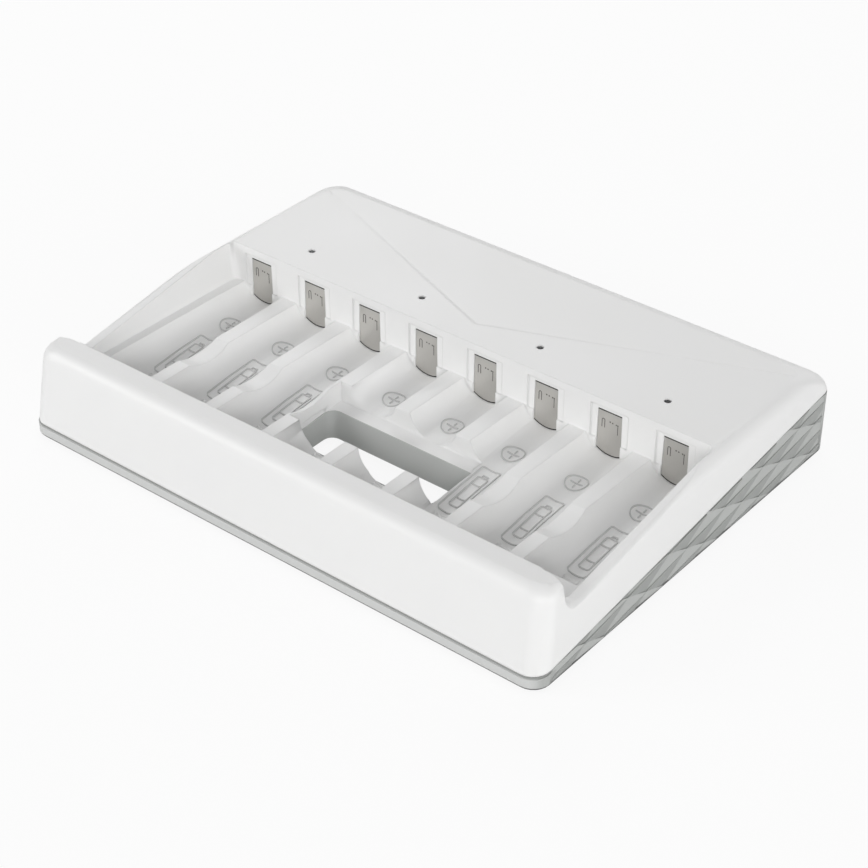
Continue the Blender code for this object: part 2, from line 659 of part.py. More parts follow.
def make_base(grey):
    tray = add(tray_body(), "base_housing", grey)
    boolean(tray, above_seam(0.0))
    tongue_out = SHELL_EDGE + SIDE_DRAFT * (SEAM_GROOVE + TONGUE_HEIGHT) + PART_GAP
    lean = FRONT_LEAN * (SEAM_GROOVE + TONGUE_HEIGHT + 0.5)
    tongue = add(tray_block(tongue_out, FLOOR / 2, BIG / 2, "tongue", lean), "tongue_tool")
    tongue.hide_render = True
    tongue.display_type = "WIRE"
    boolean(tongue, above_seam(SEAM_GROOVE + TONGUE_HEIGHT))
    reach = WALL + HOLLOW_CORNER - PART_GAP
    boolean(tongue, box(-HALF_WIDTH, HALF_WIDTH, BAY_FRONT_Y - reach, CONTACT_WALL + reach,
                        RIDGE_Z - WALL - PART_GAP, BIG, "low_tongue"))
    boolean(tongue, box(-HALF_WIDTH, HALF_WIDTH, CROWN_END_Y + 4, REAR_Y + 5, seam_z(REAR_Y) - PART_GAP, BIG, "low_rear"))
    join = tray.modifiers.new("tongue", "BOOLEAN")
    join.operation = "UNION"
    join.solver = "EXACT"
    join.object = tongue
    hollow = tongue_out + TONGUE_THICKNESS
    boolean(tray, tray_block(hollow, FLOOR, BIG, "tray_hollow", lean))
    collar = tray_collar()
    boolean(tray, collar, "UNION")
    boolean(tray, prism(collar_plan(-COLLAR_WALL - PART_GAP), "Z", -5.0, BIG, "shaft"))
    boolean(tray, prism(collar_plan(SHAFT_RELIEF), "Z", -5.0, SHAFT_RELIEF_DEPTH, "shaft_relief"))
    posts = [cylinder(x, y, FLOOR / 2, BOSS_STEP_Z, BOSS_RADIUS, "post") for x, y in screw_places()]
    posts += [cylinder(x, y, FLOOR / 2, BOARD_Z - PART_GAP, BOARD_POST_RADIUS, "board_post", 14) for x, y in board_posts()]
    boolean(tray, merged(posts, "posts"), "UNION")
    holes = [cylinder(x, y, -3.0, BOSS_STEP_Z + 2, SCREW_RADIUS + PART_GAP, "hole", 14) for x, y in screw_places()]
    boolean(tray, merged(holes, "holes"))
    heads = [cylinder(x, y, -3.0, SCREW_SINK + SCREW_HEAD, SCREW_HEAD_RADIUS + PART_GAP, "head", 18)
             for x, y in screw_places()]
    boolean(tray, merged(heads, "heads"))
    feet = [cylinder(x, y, -3.0, FOOT_THICKNESS - FOOT_PROUD + PART_GAP, FOOT_RADIUS + PART_GAP, "foot_seat")
            for x, y in foot_places()]
    boolean(tray, merged(feet, "feet"))
    half = SOCKET_WIDTH / 2 + PART_GAP
    z0 = BOARD_Z + BOARD_THICKNESS
    outline = rounded_outline(-half, half, z0, z0 + SOCKET_HEIGHT + 2 * PART_GAP, 1.7, 4)
    boolean(tray, prism(outline, "Y", REAR_Y - TRAY_WALL - 6, REAR_Y + 3, "inlet"))
    return tray


def tray_collar():
    """Wall round the through opening, cut off to follow the sloping troughs."""
    rear_z = trough_floor_z(OPENING_REAR_Y) - 0.1
    front_z = groove_floor_z(OPENING_FRONT_Y) - 0.4
    outline = collar_plan(-PART_GAP)
    slope = (rear_z - front_z) / (OPENING_REAR_Y - OPENING_FRONT_Y)
    low = [(x, y, FLOOR / 2) for x, y in outline]
    high = [(x, y, front_z + slope * (y - OPENING_FRONT_Y)) for x, y in outline]
    return loft([low, high], "collar")


def board_posts():
    x, y0, y1 = BOARD_HALF_WIDTH - BOARD_POST_INSET, BOARD_FRONT_Y + 5.0, CROWN_END_Y - 7.5
    return [(-x, y0), (-x, y1), (x, y0), (x, y1)]


def foot_places():
    x, y0, y1 = HALF_WIDTH - FOOT_INSET_X, FRONT_Y + FOOT_INSET_Y + 12.0, REAR_Y - FOOT_INSET_Y - 8.0
    return [(-x, y0), (x, y0), (-x, y1), (x, y1)]


def strip_solid(path, half, name):
    """A bent strip: (y, z) path of its middle line, with half its width at each point."""
    sections = []
    for i, (y, z) in enumerate(path):
        before = Vector(path[max(i - 1, 0)])
        after = Vector(path[min(i + 1, len(path) - 1)])
        along = (after - before).normalized()
        normal = Vector((-along.y, along.x))
        here = Vector((y, z))
        if 0 < i < len(path) - 1:
            one = (here - before).normalized()
            two = (after - here).normalized()
            normal = (Vector((-one.y, one.x)) + Vector((-two.y, two.x))).normalized()
            normal = normal / max(normal.dot(Vector((-one.y, one.x))), 0.5)
        w = half[i]
        a, b = here + normal * STRIP / 2, here - normal * STRIP / 2
        sections.append([(-w, a.x, a.y), (w, a.x, a.y), (w, b.x, b.y), (-w, b.x, b.y)])
    return loft(sections, name)


def shifted(mesh, x):
    mesh.transform(Matrix.Translation((x * MM, 0.0, 0.0)))
    return mesh


def pad_place():
    """Middle of the AAA pad, pressed in a little by the cell."""
    return BOSS_FACE_Y - AAA_LENGTH + SPRING_PRELOAD - STRIP / 2


def make_positive_contact(index, x, nickel):
    """Flat plate in its pocket, raised into the window, with a solder foot on the board."""
    y = PANEL_DEPTH + CONTACT_SKIN + PART_GAP + STRIP / 2
    foot_z = BOARD_Z + BOARD_THICKNESS + PART_GAP + STRIP / 2
    top = DECK_Z - DECK_WALL - PART_GAP
    path = [(y, top), (y, foot_z + 0.8), (y + 0.7, foot_z), (y + SOLDER_FOOT, foot_z)]
    half = [PLATE_WIDTH / 2, PLATE_WIDTH / 2, TAIL_WIDTH / 2, TAIL_WIDTH / 2]
    mesh = shifted(strip_solid(path, half, "positive_contact"), x + WINDOW_SHIFT)
    plate = add(mesh, f"positive_contact_{index}", nickel)
    boolean(plate, prism(window_outline(x, BOSS_GAP, BOSS_END_GAP), "Y", BOSS_FACE_Y, y, "boss"), "UNION")
    return plate


def make_negative_contact(index, x, nickel):
    """Sprung strip: AAA pad, seat in the pocket, bowed AA leaf and a solder tail."""
    t = STRIP / 2
    pad_y = pad_place()
    seat = SEAT_Z + PART_GAP + t
    root_y = TROUGH_FRONT_Y + 1.1
    bow_y = BOSS_FACE_Y - AA_LENGTH + SPRING_PRELOAD - t
    board = STRIP_BOARD_Z + STRIP_BOARD_THICKNESS + PART_GAP
    neck_y = GROOVE_FRONT_Y - 1.0 - PART_GAP
    leaf = [(pad_y, seat + PAD_RISE), (pad_y, seat + 0.4), (pad_y - 0.4, seat), (neck_y + 0.02, seat),
            (neck_y, seat), (root_y + 1.1, seat),
            (root_y + 0.7, seat + 0.5), (bow_y, seat + LEAF_RISE - 1.8), (bow_y, seat + LEAF_RISE - 1.0),
            (bow_y - 0.9, seat + LEAF_RISE)]
    half = [PAD_WIDTH / 2, PAD_WIDTH / 2, PAD_WIDTH / 2, PAD_WIDTH / 2, LEAF_WIDTH / 2, LEAF_WIDTH / 2, LEAF_WIDTH / 2, LEAF_WIDTH / 2,
            LEAF_WIDTH / 2, LEAF_WIDTH / 2 - 1.2]
    mesh = shifted(strip_solid(leaf, half, "negative_contact"), x)
    strip = add(mesh, f"negative_contact_{index}", nickel)
    y = root_y - 0.25
    thin = t - 0.06
    tail = [(y + t + 2.3, seat + thin), (y - t, seat + thin), (y - t, board), (y + t, board),
            (y + t, seat - thin), (y + t + 2.3, seat - thin)]
    boolean(strip, prism(tail, "X", x - TAIL_WIDTH / 2, x + TAIL_WIDTH / 2, "tail"), "UNION")
    return strip


def make_board(name, outline, z, thickness, mat):
    return add(prism(outline, "Z", z, z + thickness, name), name, mat)


def make_electronics(green, black, nickel, ferrite, lens, sleeve, copper):
    (left, screw_y), (mid, _), (right, _) = screw_places()[3:]
    room = BOSS_RADIUS + 1.6
    notch_y = screw_y - room
    rear = [(-BOARD_HALF_WIDTH, BOARD_FRONT_Y), (BOARD_HALF_WIDTH, BOARD_FRONT_Y),
            (BOARD_HALF_WIDTH, notch_y), (right - room, notch_y), (right - room, BOARD_REAR_Y),
            (mid + room, BOARD_REAR_Y), (mid + room, notch_y), (mid - room, notch_y), (mid - room, BOARD_REAR_Y),
            (left + room, BOARD_REAR_Y), (left + room, notch_y), (-BOARD_HALF_WIDTH, notch_y)]
    make_board("circuit_board", rear, BOARD_Z, BOARD_THICKNESS, green)
    front_y = STRIP_BOARD_REAR_Y - STRIP_BOARD_DEPTH
    half = BOARD_HALF_WIDTH + 1.0
    strip = [(-half, front_y), (half, front_y), (half, STRIP_BOARD_REAR_Y), (-half, STRIP_BOARD_REAR_Y)]
    make_board("front_contact_board", strip, STRIP_BOARD_Z, STRIP_BOARD_THICKNESS, green)
    top = BOARD_Z + BOARD_THICKNESS + PART_GAP
    parts = [("control_chip", box(-14, -4, 16, 26, top, top + 1.4, "chip"), black),
             ("charge_driver_left", box(-48, -42, 14, 19, top, top + 1.6, "driver"), black),
             ("charge_driver_right", box(42, 48, 14, 19, top, top + 1.6, "driver"), black),
             ("power_inductor", cylinder(30, 22, top, top + 6.0, 5.5, "inductor", 24), ferrite),
             ("capacitor_left", cylinder(-30, 26, top, top + 9.0, 4.0, "capacitor", 24), sleeve),
             ("capacitor_right", cylinder(-20, 34, top, top + 8.0, 3.2, "capacitor", 24), sleeve)]
    for name, mesh, mat in parts:
        add(mesh, name, mat, smooth=mat in (ferrite, sleeve))
    for i, x in enumerate(LAMP_X, 1):
        chip_top = top + 1.0
        add(box(x - 1.4, x + 1.4, LAMP_Y - 1.2, LAMP_Y + 1.2, top, chip_top, "chip"), f"indicator_led_{i}", black)
        make_light_pipe(i, x, chip_top + PART_GAP, lens)
    make_socket(top, nickel)
    make_wiring(copper)


def make_light_pipe(index, x, low, lens):
    """Turned clear rod from the lamp chip up to the hole in the deck."""
    under = DECK_Z - DECK_WALL - PART_GAP
    rod = LAMP_RADIUS - 0.15
    profile = [(rod + 0.5, low), (rod + 0.5, under - 1.6), (rod + 1.2, under - 1.0), (rod + 1.2, under),
               (rod, under), (rod, DECK_Z - 0.35), (rod - 0.3, DECK_Z - 0.1)]
    steps = 16
    sections = [[(x + r * math.cos(math.tau * i / steps), LAMP_Y + r * math.sin(math.tau * i / steps), z)
                 for i in range(steps)] for r, z in profile]
    add(loft(sections, "light_pipe"), f"light_pipe_{index}", lens, smooth=True)


def make_socket(top, nickel):
    """Power inlet: a thin oval shell with a tongue inside, open to the rear."""
    y1 = REAR_Y - 1.0
    y0 = y1 - SOCKET_LENGTH
    z0 = BOARD_Z + BOARD_THICKNESS + PART_GAP
    z1 = z0 + SOCKET_HEIGHT
    shell = prism(rounded_outline(-SOCKET_WIDTH / 2, SOCKET_WIDTH / 2, z0, z1, 1.5, 4), "Y", y0, y1, "socket")
    socket = add(shell, "power_inlet", nickel)
    w = 0.35
    hollow = rounded_outline(-SOCKET_WIDTH / 2 + w, SOCKET_WIDTH / 2 - w, z0 + w, z1 - w, 1.2, 4)
    boolean(socket, prism(hollow, "Y", y0 + 1.2, y1 + 2, "mouth"))
    boolean(socket, box(-3.2, 3.2, y0 + 0.6, y1 - 1.2, (z0 + z1) / 2 - 0.35, (z0 + z1) / 2 + 0.35, "tongue"), "UNION")


def make_wiring(copper):
    """Flat loom under the first ridge, from the front board to the rear board."""
    x = RIDGE_X[0]
    t = LOOM_THICKNESS / 2
    z = STRIP_BOARD_Z + STRIP_BOARD_THICKNESS + PART_GAP + t
    board = BOARD_Z + BOARD_THICKNESS + PART_GAP + t
    y0 = STRIP_BOARD_REAR_Y - 3 * t
    low = FLOOR + PART_GAP + t
    wall_y = CONTACT_WALL + PART_GAP + t
    path = [(y0, z), (STRIP_BOARD_REAR_Y + t, z), (STRIP_BOARD_REAR_Y + 4 * t, low), (wall_y - 3 * t, low),
            (wall_y, low + 3 * t), (wall_y, board - 2 * t), (wall_y + 2 * t, board), (BOARD_FRONT_Y + 8 * t, board)]
    sections = []
    for i, (y, zz) in enumerate(path):
        before = Vector(path[max(i - 1, 0)])
        after = Vector(path[min(i + 1, len(path) - 1)])
        along = (after - before).normalized()
        normal = Vector((-along.y, along.x)) * t
        left, right = x - LOOM_WIDTH / 2, x + LOOM_WIDTH / 2
        sections.append([(left, y + normal.x, zz + normal.y), (right, y + normal.x, zz + normal.y),
                         (right, y - normal.x, zz - normal.y), (left, y - normal.x, zz - normal.y)])
    add(loft(sections, "loom"), "wire_loom", copper)


def make_fasteners(steel, rubber):
    for i, (x, y) in enumerate(screw_places(), 1):
        profile = [(0.9, SCREW_SINK), (SCREW_HEAD_RADIUS, SCREW_SINK + 0.35),
                   (SCREW_HEAD_RADIUS, SCREW_SINK + SCREW_HEAD - PART_GAP),
                   (SCREW_RADIUS - 0.1, SCREW_SINK + SCREW_HEAD - PART_GAP),
                   (SCREW_RADIUS - 0.1, BOSS_STEP_Z + 7.0), (0.4, BOSS_STEP_Z + 8.2)]
        sections = [[(x + r * math.cos(math.tau * k / 16), y + r * math.sin(math.tau * k / 16), z)
                     for k in range(16)] for r, z in profile]
        add(loft(sections, "screw"), f"housing_screw_{i}", steel, smooth=True)
    for i, (x, y) in enumerate(foot_places(), 1):
        profile = [(FOOT_RADIUS - 0.5, -FOOT_PROUD), (FOOT_RADIUS, -FOOT_PROUD + 0.5),
                   (FOOT_RADIUS, FOOT_THICKNESS - FOOT_PROUD)]
        sections = [[(x + r * math.cos(math.tau * k / 24), y + r * math.sin(math.tau * k / 24), z)
                     for k in range(24)] for r, z in profile]
        add(loft(sections, "foot"), f"rubber_foot_{i}", rubber, smooth=True)


def build():
    white = material("white_shell", (0.86, 0.86, 0.86), 0.42)
    grey = material("grey_base", (0.36, 0.375, 0.365), 0.5)
    nickel = material("nickel", (0.62, 0.61, 0.6), 0.32, 1.0)
    green = material("circuit_green", (0.03, 0.16, 0.08), 0.5)
    black = material("chip_black", (0.02, 0.02, 0.022), 0.5)
    ferrite = material("ferrite", (0.05, 0.05, 0.055), 0.7)
    sleeve = material("capacitor_sleeve", (0.03, 0.035, 0.06), 0.35)
    lens = material("lamp_lens", (0.015, 0.015, 0.018), 0.2)
    copper = material("loom_grey", (0.3, 0.3, 0.32), 0.6)
    steel = material("screw_steel", (0.5, 0.5, 0.5), 0.35, 1.0)
    rubber = material("foot_rubber", (0.05, 0.05, 0.05), 0.8)
    make_top_housing(white)
    make_base(grey)
    for i, x in enumerate(SLOT_X, 1):
        make_positive_contact(i, x, nickel)
        make_negative_contact(i, x, nickel)
    make_electronics(green, black, nickel, ferrite, lens, sleeve, copper)
    make_fasteners(steel, rubber)


clear_scene()
FRAME = bpy.data.objects.new("charger", None)
bpy.context.scene.collection.objects.link(FRAME)
FRAME.location = (0.0, -(FRONT_Y + REAR_Y) / 2 * MM, FOOT_PROUD * MM)
build()
bpy.context.view_layer.update()
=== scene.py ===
import math

import bmesh
import bpy
from mathutils import Matrix, Vector


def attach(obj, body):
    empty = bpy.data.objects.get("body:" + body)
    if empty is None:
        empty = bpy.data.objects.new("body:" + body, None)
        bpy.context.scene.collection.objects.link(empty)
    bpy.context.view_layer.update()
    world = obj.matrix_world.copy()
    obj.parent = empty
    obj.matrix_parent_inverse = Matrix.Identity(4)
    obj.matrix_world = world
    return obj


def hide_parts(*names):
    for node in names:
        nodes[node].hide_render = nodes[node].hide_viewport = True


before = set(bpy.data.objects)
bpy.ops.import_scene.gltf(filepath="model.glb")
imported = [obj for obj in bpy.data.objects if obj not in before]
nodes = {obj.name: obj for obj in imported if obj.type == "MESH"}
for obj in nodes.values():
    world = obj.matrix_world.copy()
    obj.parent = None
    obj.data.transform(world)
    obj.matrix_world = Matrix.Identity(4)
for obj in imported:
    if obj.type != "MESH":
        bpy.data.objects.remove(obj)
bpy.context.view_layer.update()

# --- White top housing ---------------------------------------------------------------------
# One thin-walled ABS moulding, spark-eroded to a very fine satin grain. It carries the eight
# channels, the lip and the deck, and is screwed to the grey base from below.


def linear(level):
    """A grey or colour written as 0-255 screen levels, as the shader's linear values."""
    return tuple(v / 255 / 12.92 if v <= 10.3 else ((v / 255 + 0.055) / 1.055) ** 2.4 for v in level) + (1.0,)


def wire(owner, *links):
    for source, target in links:
        owner.node_tree.links.new(source, target)


def new_material(name, roughness, metallic=0.0):
    material = bpy.data.materials.new(name)
    material.use_nodes = True
    shader = material.node_tree.nodes["Principled BSDF"]
    shader.inputs["Roughness"].default_value = roughness
    shader.inputs["Metallic"].default_value = metallic
    return material, shader


def moulded_grain():
    """Group for every moulded surface: fine grain height, and a faint flow mottle in tone and gloss."""
    group = bpy.data.node_groups.new("moulded_grain", "ShaderNodeTree")
    face = group.interface
    for label, value in (("Grain Size", 0.0004), ("Mottle Size", 0.03), ("Rough Low", 0.4), ("Rough High", 0.5)):
        face.new_socket(label, in_out="INPUT", socket_type="NodeSocketFloat").default_value = value
    for label in ("Dark Colour", "Light Colour"):
        face.new_socket(label, in_out="INPUT", socket_type="NodeSocketColor")
    face.new_socket("Colour", in_out="OUTPUT", socket_type="NodeSocketColor")
    face.new_socket("Roughness", in_out="OUTPUT", socket_type="NodeSocketFloat")
    face.new_socket("Height", in_out="OUTPUT", socket_type="NodeSocketFloat")
    tree, link = group.nodes, group.links.new
    given, result = tree.new("NodeGroupInput"), tree.new("NodeGroupOutput")
    place = tree.new("ShaderNodeTexCoord")
    scales = {}
    for label in ("Grain Size", "Mottle Size"):
        divide = tree.new("ShaderNodeMath")
        divide.operation = "DIVIDE"
        divide.inputs[0].default_value = 1.0
        link(given.outputs[label], divide.inputs[1])
        noise = tree.new("ShaderNodeTexNoise")
        noise.inputs["Detail"].default_value = 3.0
        link(place.outputs["Object"], noise.inputs["Vector"])
        link(divide.outputs[0], noise.inputs["Scale"])
        scales[label] = noise
    blend = tree.new("ShaderNodeMix")
    blend.data_type = "RGBA"
    link(scales["Mottle Size"].outputs["Fac"], blend.inputs["Factor"])
    link(given.outputs["Dark Colour"], blend.inputs["A"])
    link(given.outputs["Light Colour"], blend.inputs["B"])
    spread = tree.new("ShaderNodeMapRange")
    link(scales["Mottle Size"].outputs["Fac"], spread.inputs["Value"])
    link(given.outputs["Rough Low"], spread.inputs["To Min"])
    link(given.outputs["Rough High"], spread.inputs["To Max"])
    spread.inputs["From Min"].default_value = 0.3
    spread.inputs["From Max"].default_value = 0.7
    link(blend.outputs["Result"], result.inputs["Colour"])
    link(spread.outputs["Result"], result.inputs["Roughness"])
    link(scales["Grain Size"].outputs["Fac"], result.inputs["Height"])
    return group


grain_group = moulded_grain()


def moulded_plastic(name, dark, light, rough=(0.42, 0.5), edge=0.0):
    """Moulded plastic between two tones: fine grain over edges softened by the radius edge."""
    material, shader = new_material(name, rough[0])
    tree = material.node_tree.nodes
    group = tree.new("ShaderNodeGroup")
    group.node_tree = grain_group
    group.inputs["Rough Low"].default_value, group.inputs["Rough High"].default_value = rough
    group.inputs["Dark Colour"].default_value = linear(dark)
    group.inputs["Light Colour"].default_value = linear(light)
    bump = tree.new("ShaderNodeBump")
    bump.inputs["Strength"].default_value, bump.inputs["Distance"].default_value = 0.08, 0.0001
    wire(material, (group.outputs["Colour"], shader.inputs["Base Color"]),
         (group.outputs["Roughness"], shader.inputs["Roughness"]),
         (group.outputs["Height"], bump.inputs["Height"]), (bump.outputs["Normal"], shader.inputs["Normal"]))
    if edge:
        soft = tree.new("ShaderNodeBevel")
        soft.samples = 6
        soft.inputs["Radius"].default_value = edge
        wire(material, (soft.outputs["Normal"], bump.inputs["Normal"]))
    return material


def joined_copy(node, name, flat_angle, sharp_angle):
    """A copy of a CAD node as one closed mesh: flats joined, curved runs smooth, edges kept."""
    mesh = nodes[node].data.copy()
    work = bmesh.new()
    work.from_mesh(mesh)
    bmesh.ops.remove_doubles(work, verts=work.verts, dist=2e-6)
    bmesh.ops.dissolve_limit(work, angle_limit=math.radians(flat_angle), verts=work.verts, edges=work.edges,
                             use_dissolve_boundaries=False, delimit={"NORMAL"})
    for face in work.faces:
        face.smooth = True
    work.to_mesh(mesh)
    work.free()
    mesh.set_sharp_from_angle(angle=math.radians(sharp_angle))
    mesh.name = name
    piece = bpy.data.objects.new(name, mesh)
    bpy.context.scene.collection.objects.link(piece)
    weigh = piece.modifiers.new("weighted", "WEIGHTED_NORMAL")
    weigh.keep_sharp = True
    weigh.weight = 90
    return piece


def dress(piece, material):
    piece.data.materials.clear()
    piece.data.materials.append(material)


white = moulded_plastic("white_abs", (238, 238, 238), (242, 242, 241), (0.40, 0.47), edge=0.0005)
top_sharp = 24
top_housing = joined_copy("top_housing", "white_top", 0.4, top_sharp)
dress(top_housing, white)
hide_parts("top_housing")
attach(top_housing, "root")

# --- Grey base -----------------------------------------------------------------------------
# A second ABS tray, moulded in grey. Its sides are pressed into triangular facets, and its
# floor has the finger opening, the screw wells and the seats of the feet.
MM = 0.001
grey = moulded_plastic("grey_abs", (172, 174, 172), (177, 179, 177), edge=0.0002)

# Painted light and shade: the front strip is lighter than the sides as painted light on the front face, and the
# lower edge is painted dark as painted shadow under the base.
tree = grey.node_tree.nodes
place, split, strip, bottom_shadow_ramp, painted_front_light, painted_bottom_shadow = (tree.new("ShaderNode" + kind) for kind in
                                                 ("TexCoord", "SeparateXYZ", "MapRange", "MapRange", "Mix", "Mix"))
painted_front_light.data_type = painted_bottom_shadow.data_type = "RGBA"
strip.interpolation_type = "SMOOTHSTEP"
for ramp, start, end in ((strip, -63.6, -60.8), (bottom_shadow_ramp, 1.2, 1.5)):
    ramp.inputs["From Min"].default_value, ramp.inputs["From Max"].default_value = start * MM, end * MM
    ramp.inputs["To Min"].default_value, ramp.inputs["To Max"].default_value = 1.0, 0.0
# Painted light on the front strip, painted shadow along the lower edge.
painted_front_light.inputs["B"].default_value = linear((208, 209, 208))
painted_bottom_shadow.inputs["B"].default_value = linear((60, 60, 60))
group = next(node for node in tree if node.type == "GROUP")
wire(grey, (place.outputs["Object"], split.inputs["Vector"]), (split.outputs["Y"], strip.inputs["Value"]),
     (split.outputs["Z"], bottom_shadow_ramp.inputs["Value"]), (strip.outputs["Result"], painted_front_light.inputs["Factor"]),
     (group.outputs["Colour"], painted_front_light.inputs["A"]), (painted_front_light.outputs["Result"], painted_bottom_shadow.inputs["A"]),
     (bottom_shadow_ramp.outputs["Result"], painted_bottom_shadow.inputs["Factor"]),
     (painted_bottom_shadow.outputs["Result"], tree["Principled BSDF"].inputs["Base Color"]))

# The tray's side walls step back where the facets lie on them. Lengths are in mm from the foot
# of the contact wall, which stands at contact_y, and from the tray's underside at tray_z.
contact_y, tray_z = 12.45, 0.8
skirt_front, skirt_rear, skirt_foot = -70.6, 47.7, 0.5
relief_root, wall_back = 83.4, 83.2
base_sharp = 30
base_housing = joined_copy("base_housing", "grey_base_tray", 0.4, base_sharp)
for point in base_housing.data.vertices:
    along_side, height = point.co.y / MM - contact_y, point.co.z / MM - tray_z
    if abs(point.co.x) > relief_root * MM and skirt_front < along_side < skirt_rear and height > 0.3:
        point.co.x = math.copysign(wall_back * MM, point.co.x)
dress(base_housing, grey)
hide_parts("base_housing")
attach(base_housing, "root")

# --- Faceted skirts ------------------------------------------------------------------------
# The relief on both sides of the base: rows of slanting triangles in the mould, each one
# tilted, so that light and dark ones alternate. The sunk triangles also get a deeper grey as
# painted shade, and the raised ones a lighter grey as painted light. Moulded in one with the base.
skirt_low, skirt_high, skirt_back = 84.15, 84.58, 82.4
lattice_at, lattice_along, lattice_up = Vector((1.58, 8.73)), Vector((8.1, -3.1)), Vector((17.1, 2.7))
lattice_rows, lattice_columns = range(-7, 8), range(-20, 21)
seam_at, seam_fall, clearance = 12.3, 0.122, 0.02


def clipped(outline, limits):
    """The part of a flat convex outline that lies inside straight limits (normal, offset)."""
    for normal, offset in limits:
        kept = []
        for here, there in zip(outline, outline[1:] + outline[:1]):
            d0, d1 = here.dot(normal) - offset, there.dot(normal) - offset
            if d0 <= 0:
                kept.append(here)
            if (d0 < 0) != (d1 < 0) and abs(d1 - d0) > 1e-9:
                kept.append(here.lerp(there, d0 / (d0 - d1)))
        outline = kept
        if len(outline) < 3:
            return []
    return outline


def placed(x, y, z):
    """A point in mm from the contact wall and the tray's underside, in metres in the part's frame."""
    return x * MM, (y + contact_y) * MM, (z + tray_z) * MM


limits = [(Vector((-seam_fall, 1.0)), seam_at - clearance), (Vector((0.0, -1.0)), -skirt_foot),
          (Vector((-1.0, 0.0)), -skirt_front), (Vector((1.0, 0.0)), skirt_rear)]
work = bmesh.new()
for row in lattice_rows:
    for column in lattice_columns:
        low = lattice_at + lattice_along * column + lattice_up * row
        high = low + lattice_up
        for corners, sinks in (((low, low + lattice_along, high), True),
                               ((low + lattice_along, high + lattice_along, high), False)):
            outline = clipped([c.copy() for c in corners], limits)
            if not outline:
                continue
            hinge, tip, hinge_end = corners
            across = (hinge_end - hinge).normalized().orthogonal()
            rise = (tip - hinge).dot(across)
            for side in (1, -1):
                face, back = [], []
                for c in outline:
                    share = (c - hinge).dot(across) / rise
                    lift = (skirt_high - skirt_low) * (1 - share if sinks else share)
                    face.append(work.verts.new(placed(side * (skirt_low + lift), c.x, c.y)))
                    back.append(work.verts.new(placed(side * skirt_back, c.x, c.y)))
                # Sunk triangles take the painted-shade grey, raised ones the painted-light grey.
                work.faces.new(face).material_index = 0 if sinks else 1
                work.faces.new(back[::-1])
                for k in range(len(face)):
                    m = (k + 1) % len(face)
                    work.faces.new((face[k], back[k], back[m], face[m]))
bmesh.ops.recalc_face_normals(work, faces=work.faces)


def new_piece(name, work, sharp_angle=None):
    """The shape in work as an object, smooth up to an angle, or flat where none is given."""
    mesh = bpy.data.meshes.new(name)
    for face in work.faces:
        face.smooth = sharp_angle is not None
    work.to_mesh(mesh)
    work.free()
    if sharp_angle:
        mesh.set_sharp_from_angle(angle=math.radians(sharp_angle))
    piece = bpy.data.objects.new(name, mesh)
    bpy.context.scene.collection.objects.link(piece)
    return piece


faceted_skirts = new_piece("faceted_skirts", work)
# One grey moulding, split into painted shade and painted light.
for name, dark, light in (("grey_abs_painted_shade", (160, 162, 160), (165, 167, 165)),
                          ("grey_abs_painted_light", (182, 184, 182), (187, 189, 187))):
    faceted_skirts.data.materials.append(moulded_plastic(name, dark, light, edge=0.0002))
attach(faceted_skirts, "root")

# --- Finger opening ------------------------------------------------------------------------
# A flared grey shaft through both mouldings, moulded in one with the base. A fingertip from
# below pushes a cell up through it. Its grey is lighter than the base's: painted light that
# stands in for light reaching its walls from below.
shaft_foot, flare_top = 1.0, 7.8
low_loop = (-19.7, 24.7, -41.3, -28.5, (2.9, 2.9, 2.9, 2.9))
high_loop = (-21.25, 26.1, -41.9, -26.3, (2.5, 1.5, 0.8, 3.0))
bay_at, bay_fall, bay_end, front_edge = 9.3, 0.055, -41.6, 5.85
wall_t, knife_grow, knife_foot, knife_top = 0.24, 0.27, 0.9, 9.0


def rounded_loop(left, right, front, rear, radii, grow=0.0, steps=6):
    """Points of a rounded rectangle in mm, from the front left corner round to the rear left."""
    points = []
    for (x, y, sx, sy, turn), radius in zip(((left, front, 1, 1, 180), (right, front, -1, 1, 270),
                                             (right, rear, -1, -1, 0), (left, rear, 1, -1, 90)), radii):
        for k in range(steps + 1):
            angle = math.radians(turn + 90 * k / steps)
            reach = radius + grow
            points.append((x + sx * radius + reach * math.cos(angle), y + sy * radius + reach * math.sin(angle)))
    return points


def flared(z, grow):
    """The shaft's outline at height z. Where z is None, its upper edge, just under the bay's floor."""
    low, high = rounded_loop(*low_loop, grow=grow), rounded_loop(*high_loop, grow=grow)
    result = []
    for (x0, y0), (x1, y1) in zip(low, high):
        level = z
        if z is None:
            level = bay_at + bay_fall * y1 - clearance if y1 > bay_end + grow else front_edge
        share = (level - shaft_foot) / (flare_top - shaft_foot)
        result.append((x0 + (x1 - x0) * share, y0 + (y1 - y0) * share, level))
    return result


def looped(work, loops, closed_ring):
    """Joins loops of points into a ring of walls, or into a plug with two ends."""
    made = [[work.verts.new(placed(*point)) for point in loop] for loop in loops]
    pairs = list(zip(made, made[1:])) + ([(made[-1], made[0])] if closed_ring else [])
    for here, there in pairs:
        for k in range(len(here)):
            m = (k + 1) % len(here)
            work.faces.new((here[k], here[m], there[m], there[k]))
    if not closed_ring:
        work.faces.new(made[0][::-1])
        work.faces.new(made[-1])
    bmesh.ops.recalc_face_normals(work, faces=work.faces)


work = bmesh.new()
looped(work, [flared(knife_foot, knife_grow), flared(knife_top, knife_grow)], False)
knife = new_piece("opening_knife", work)

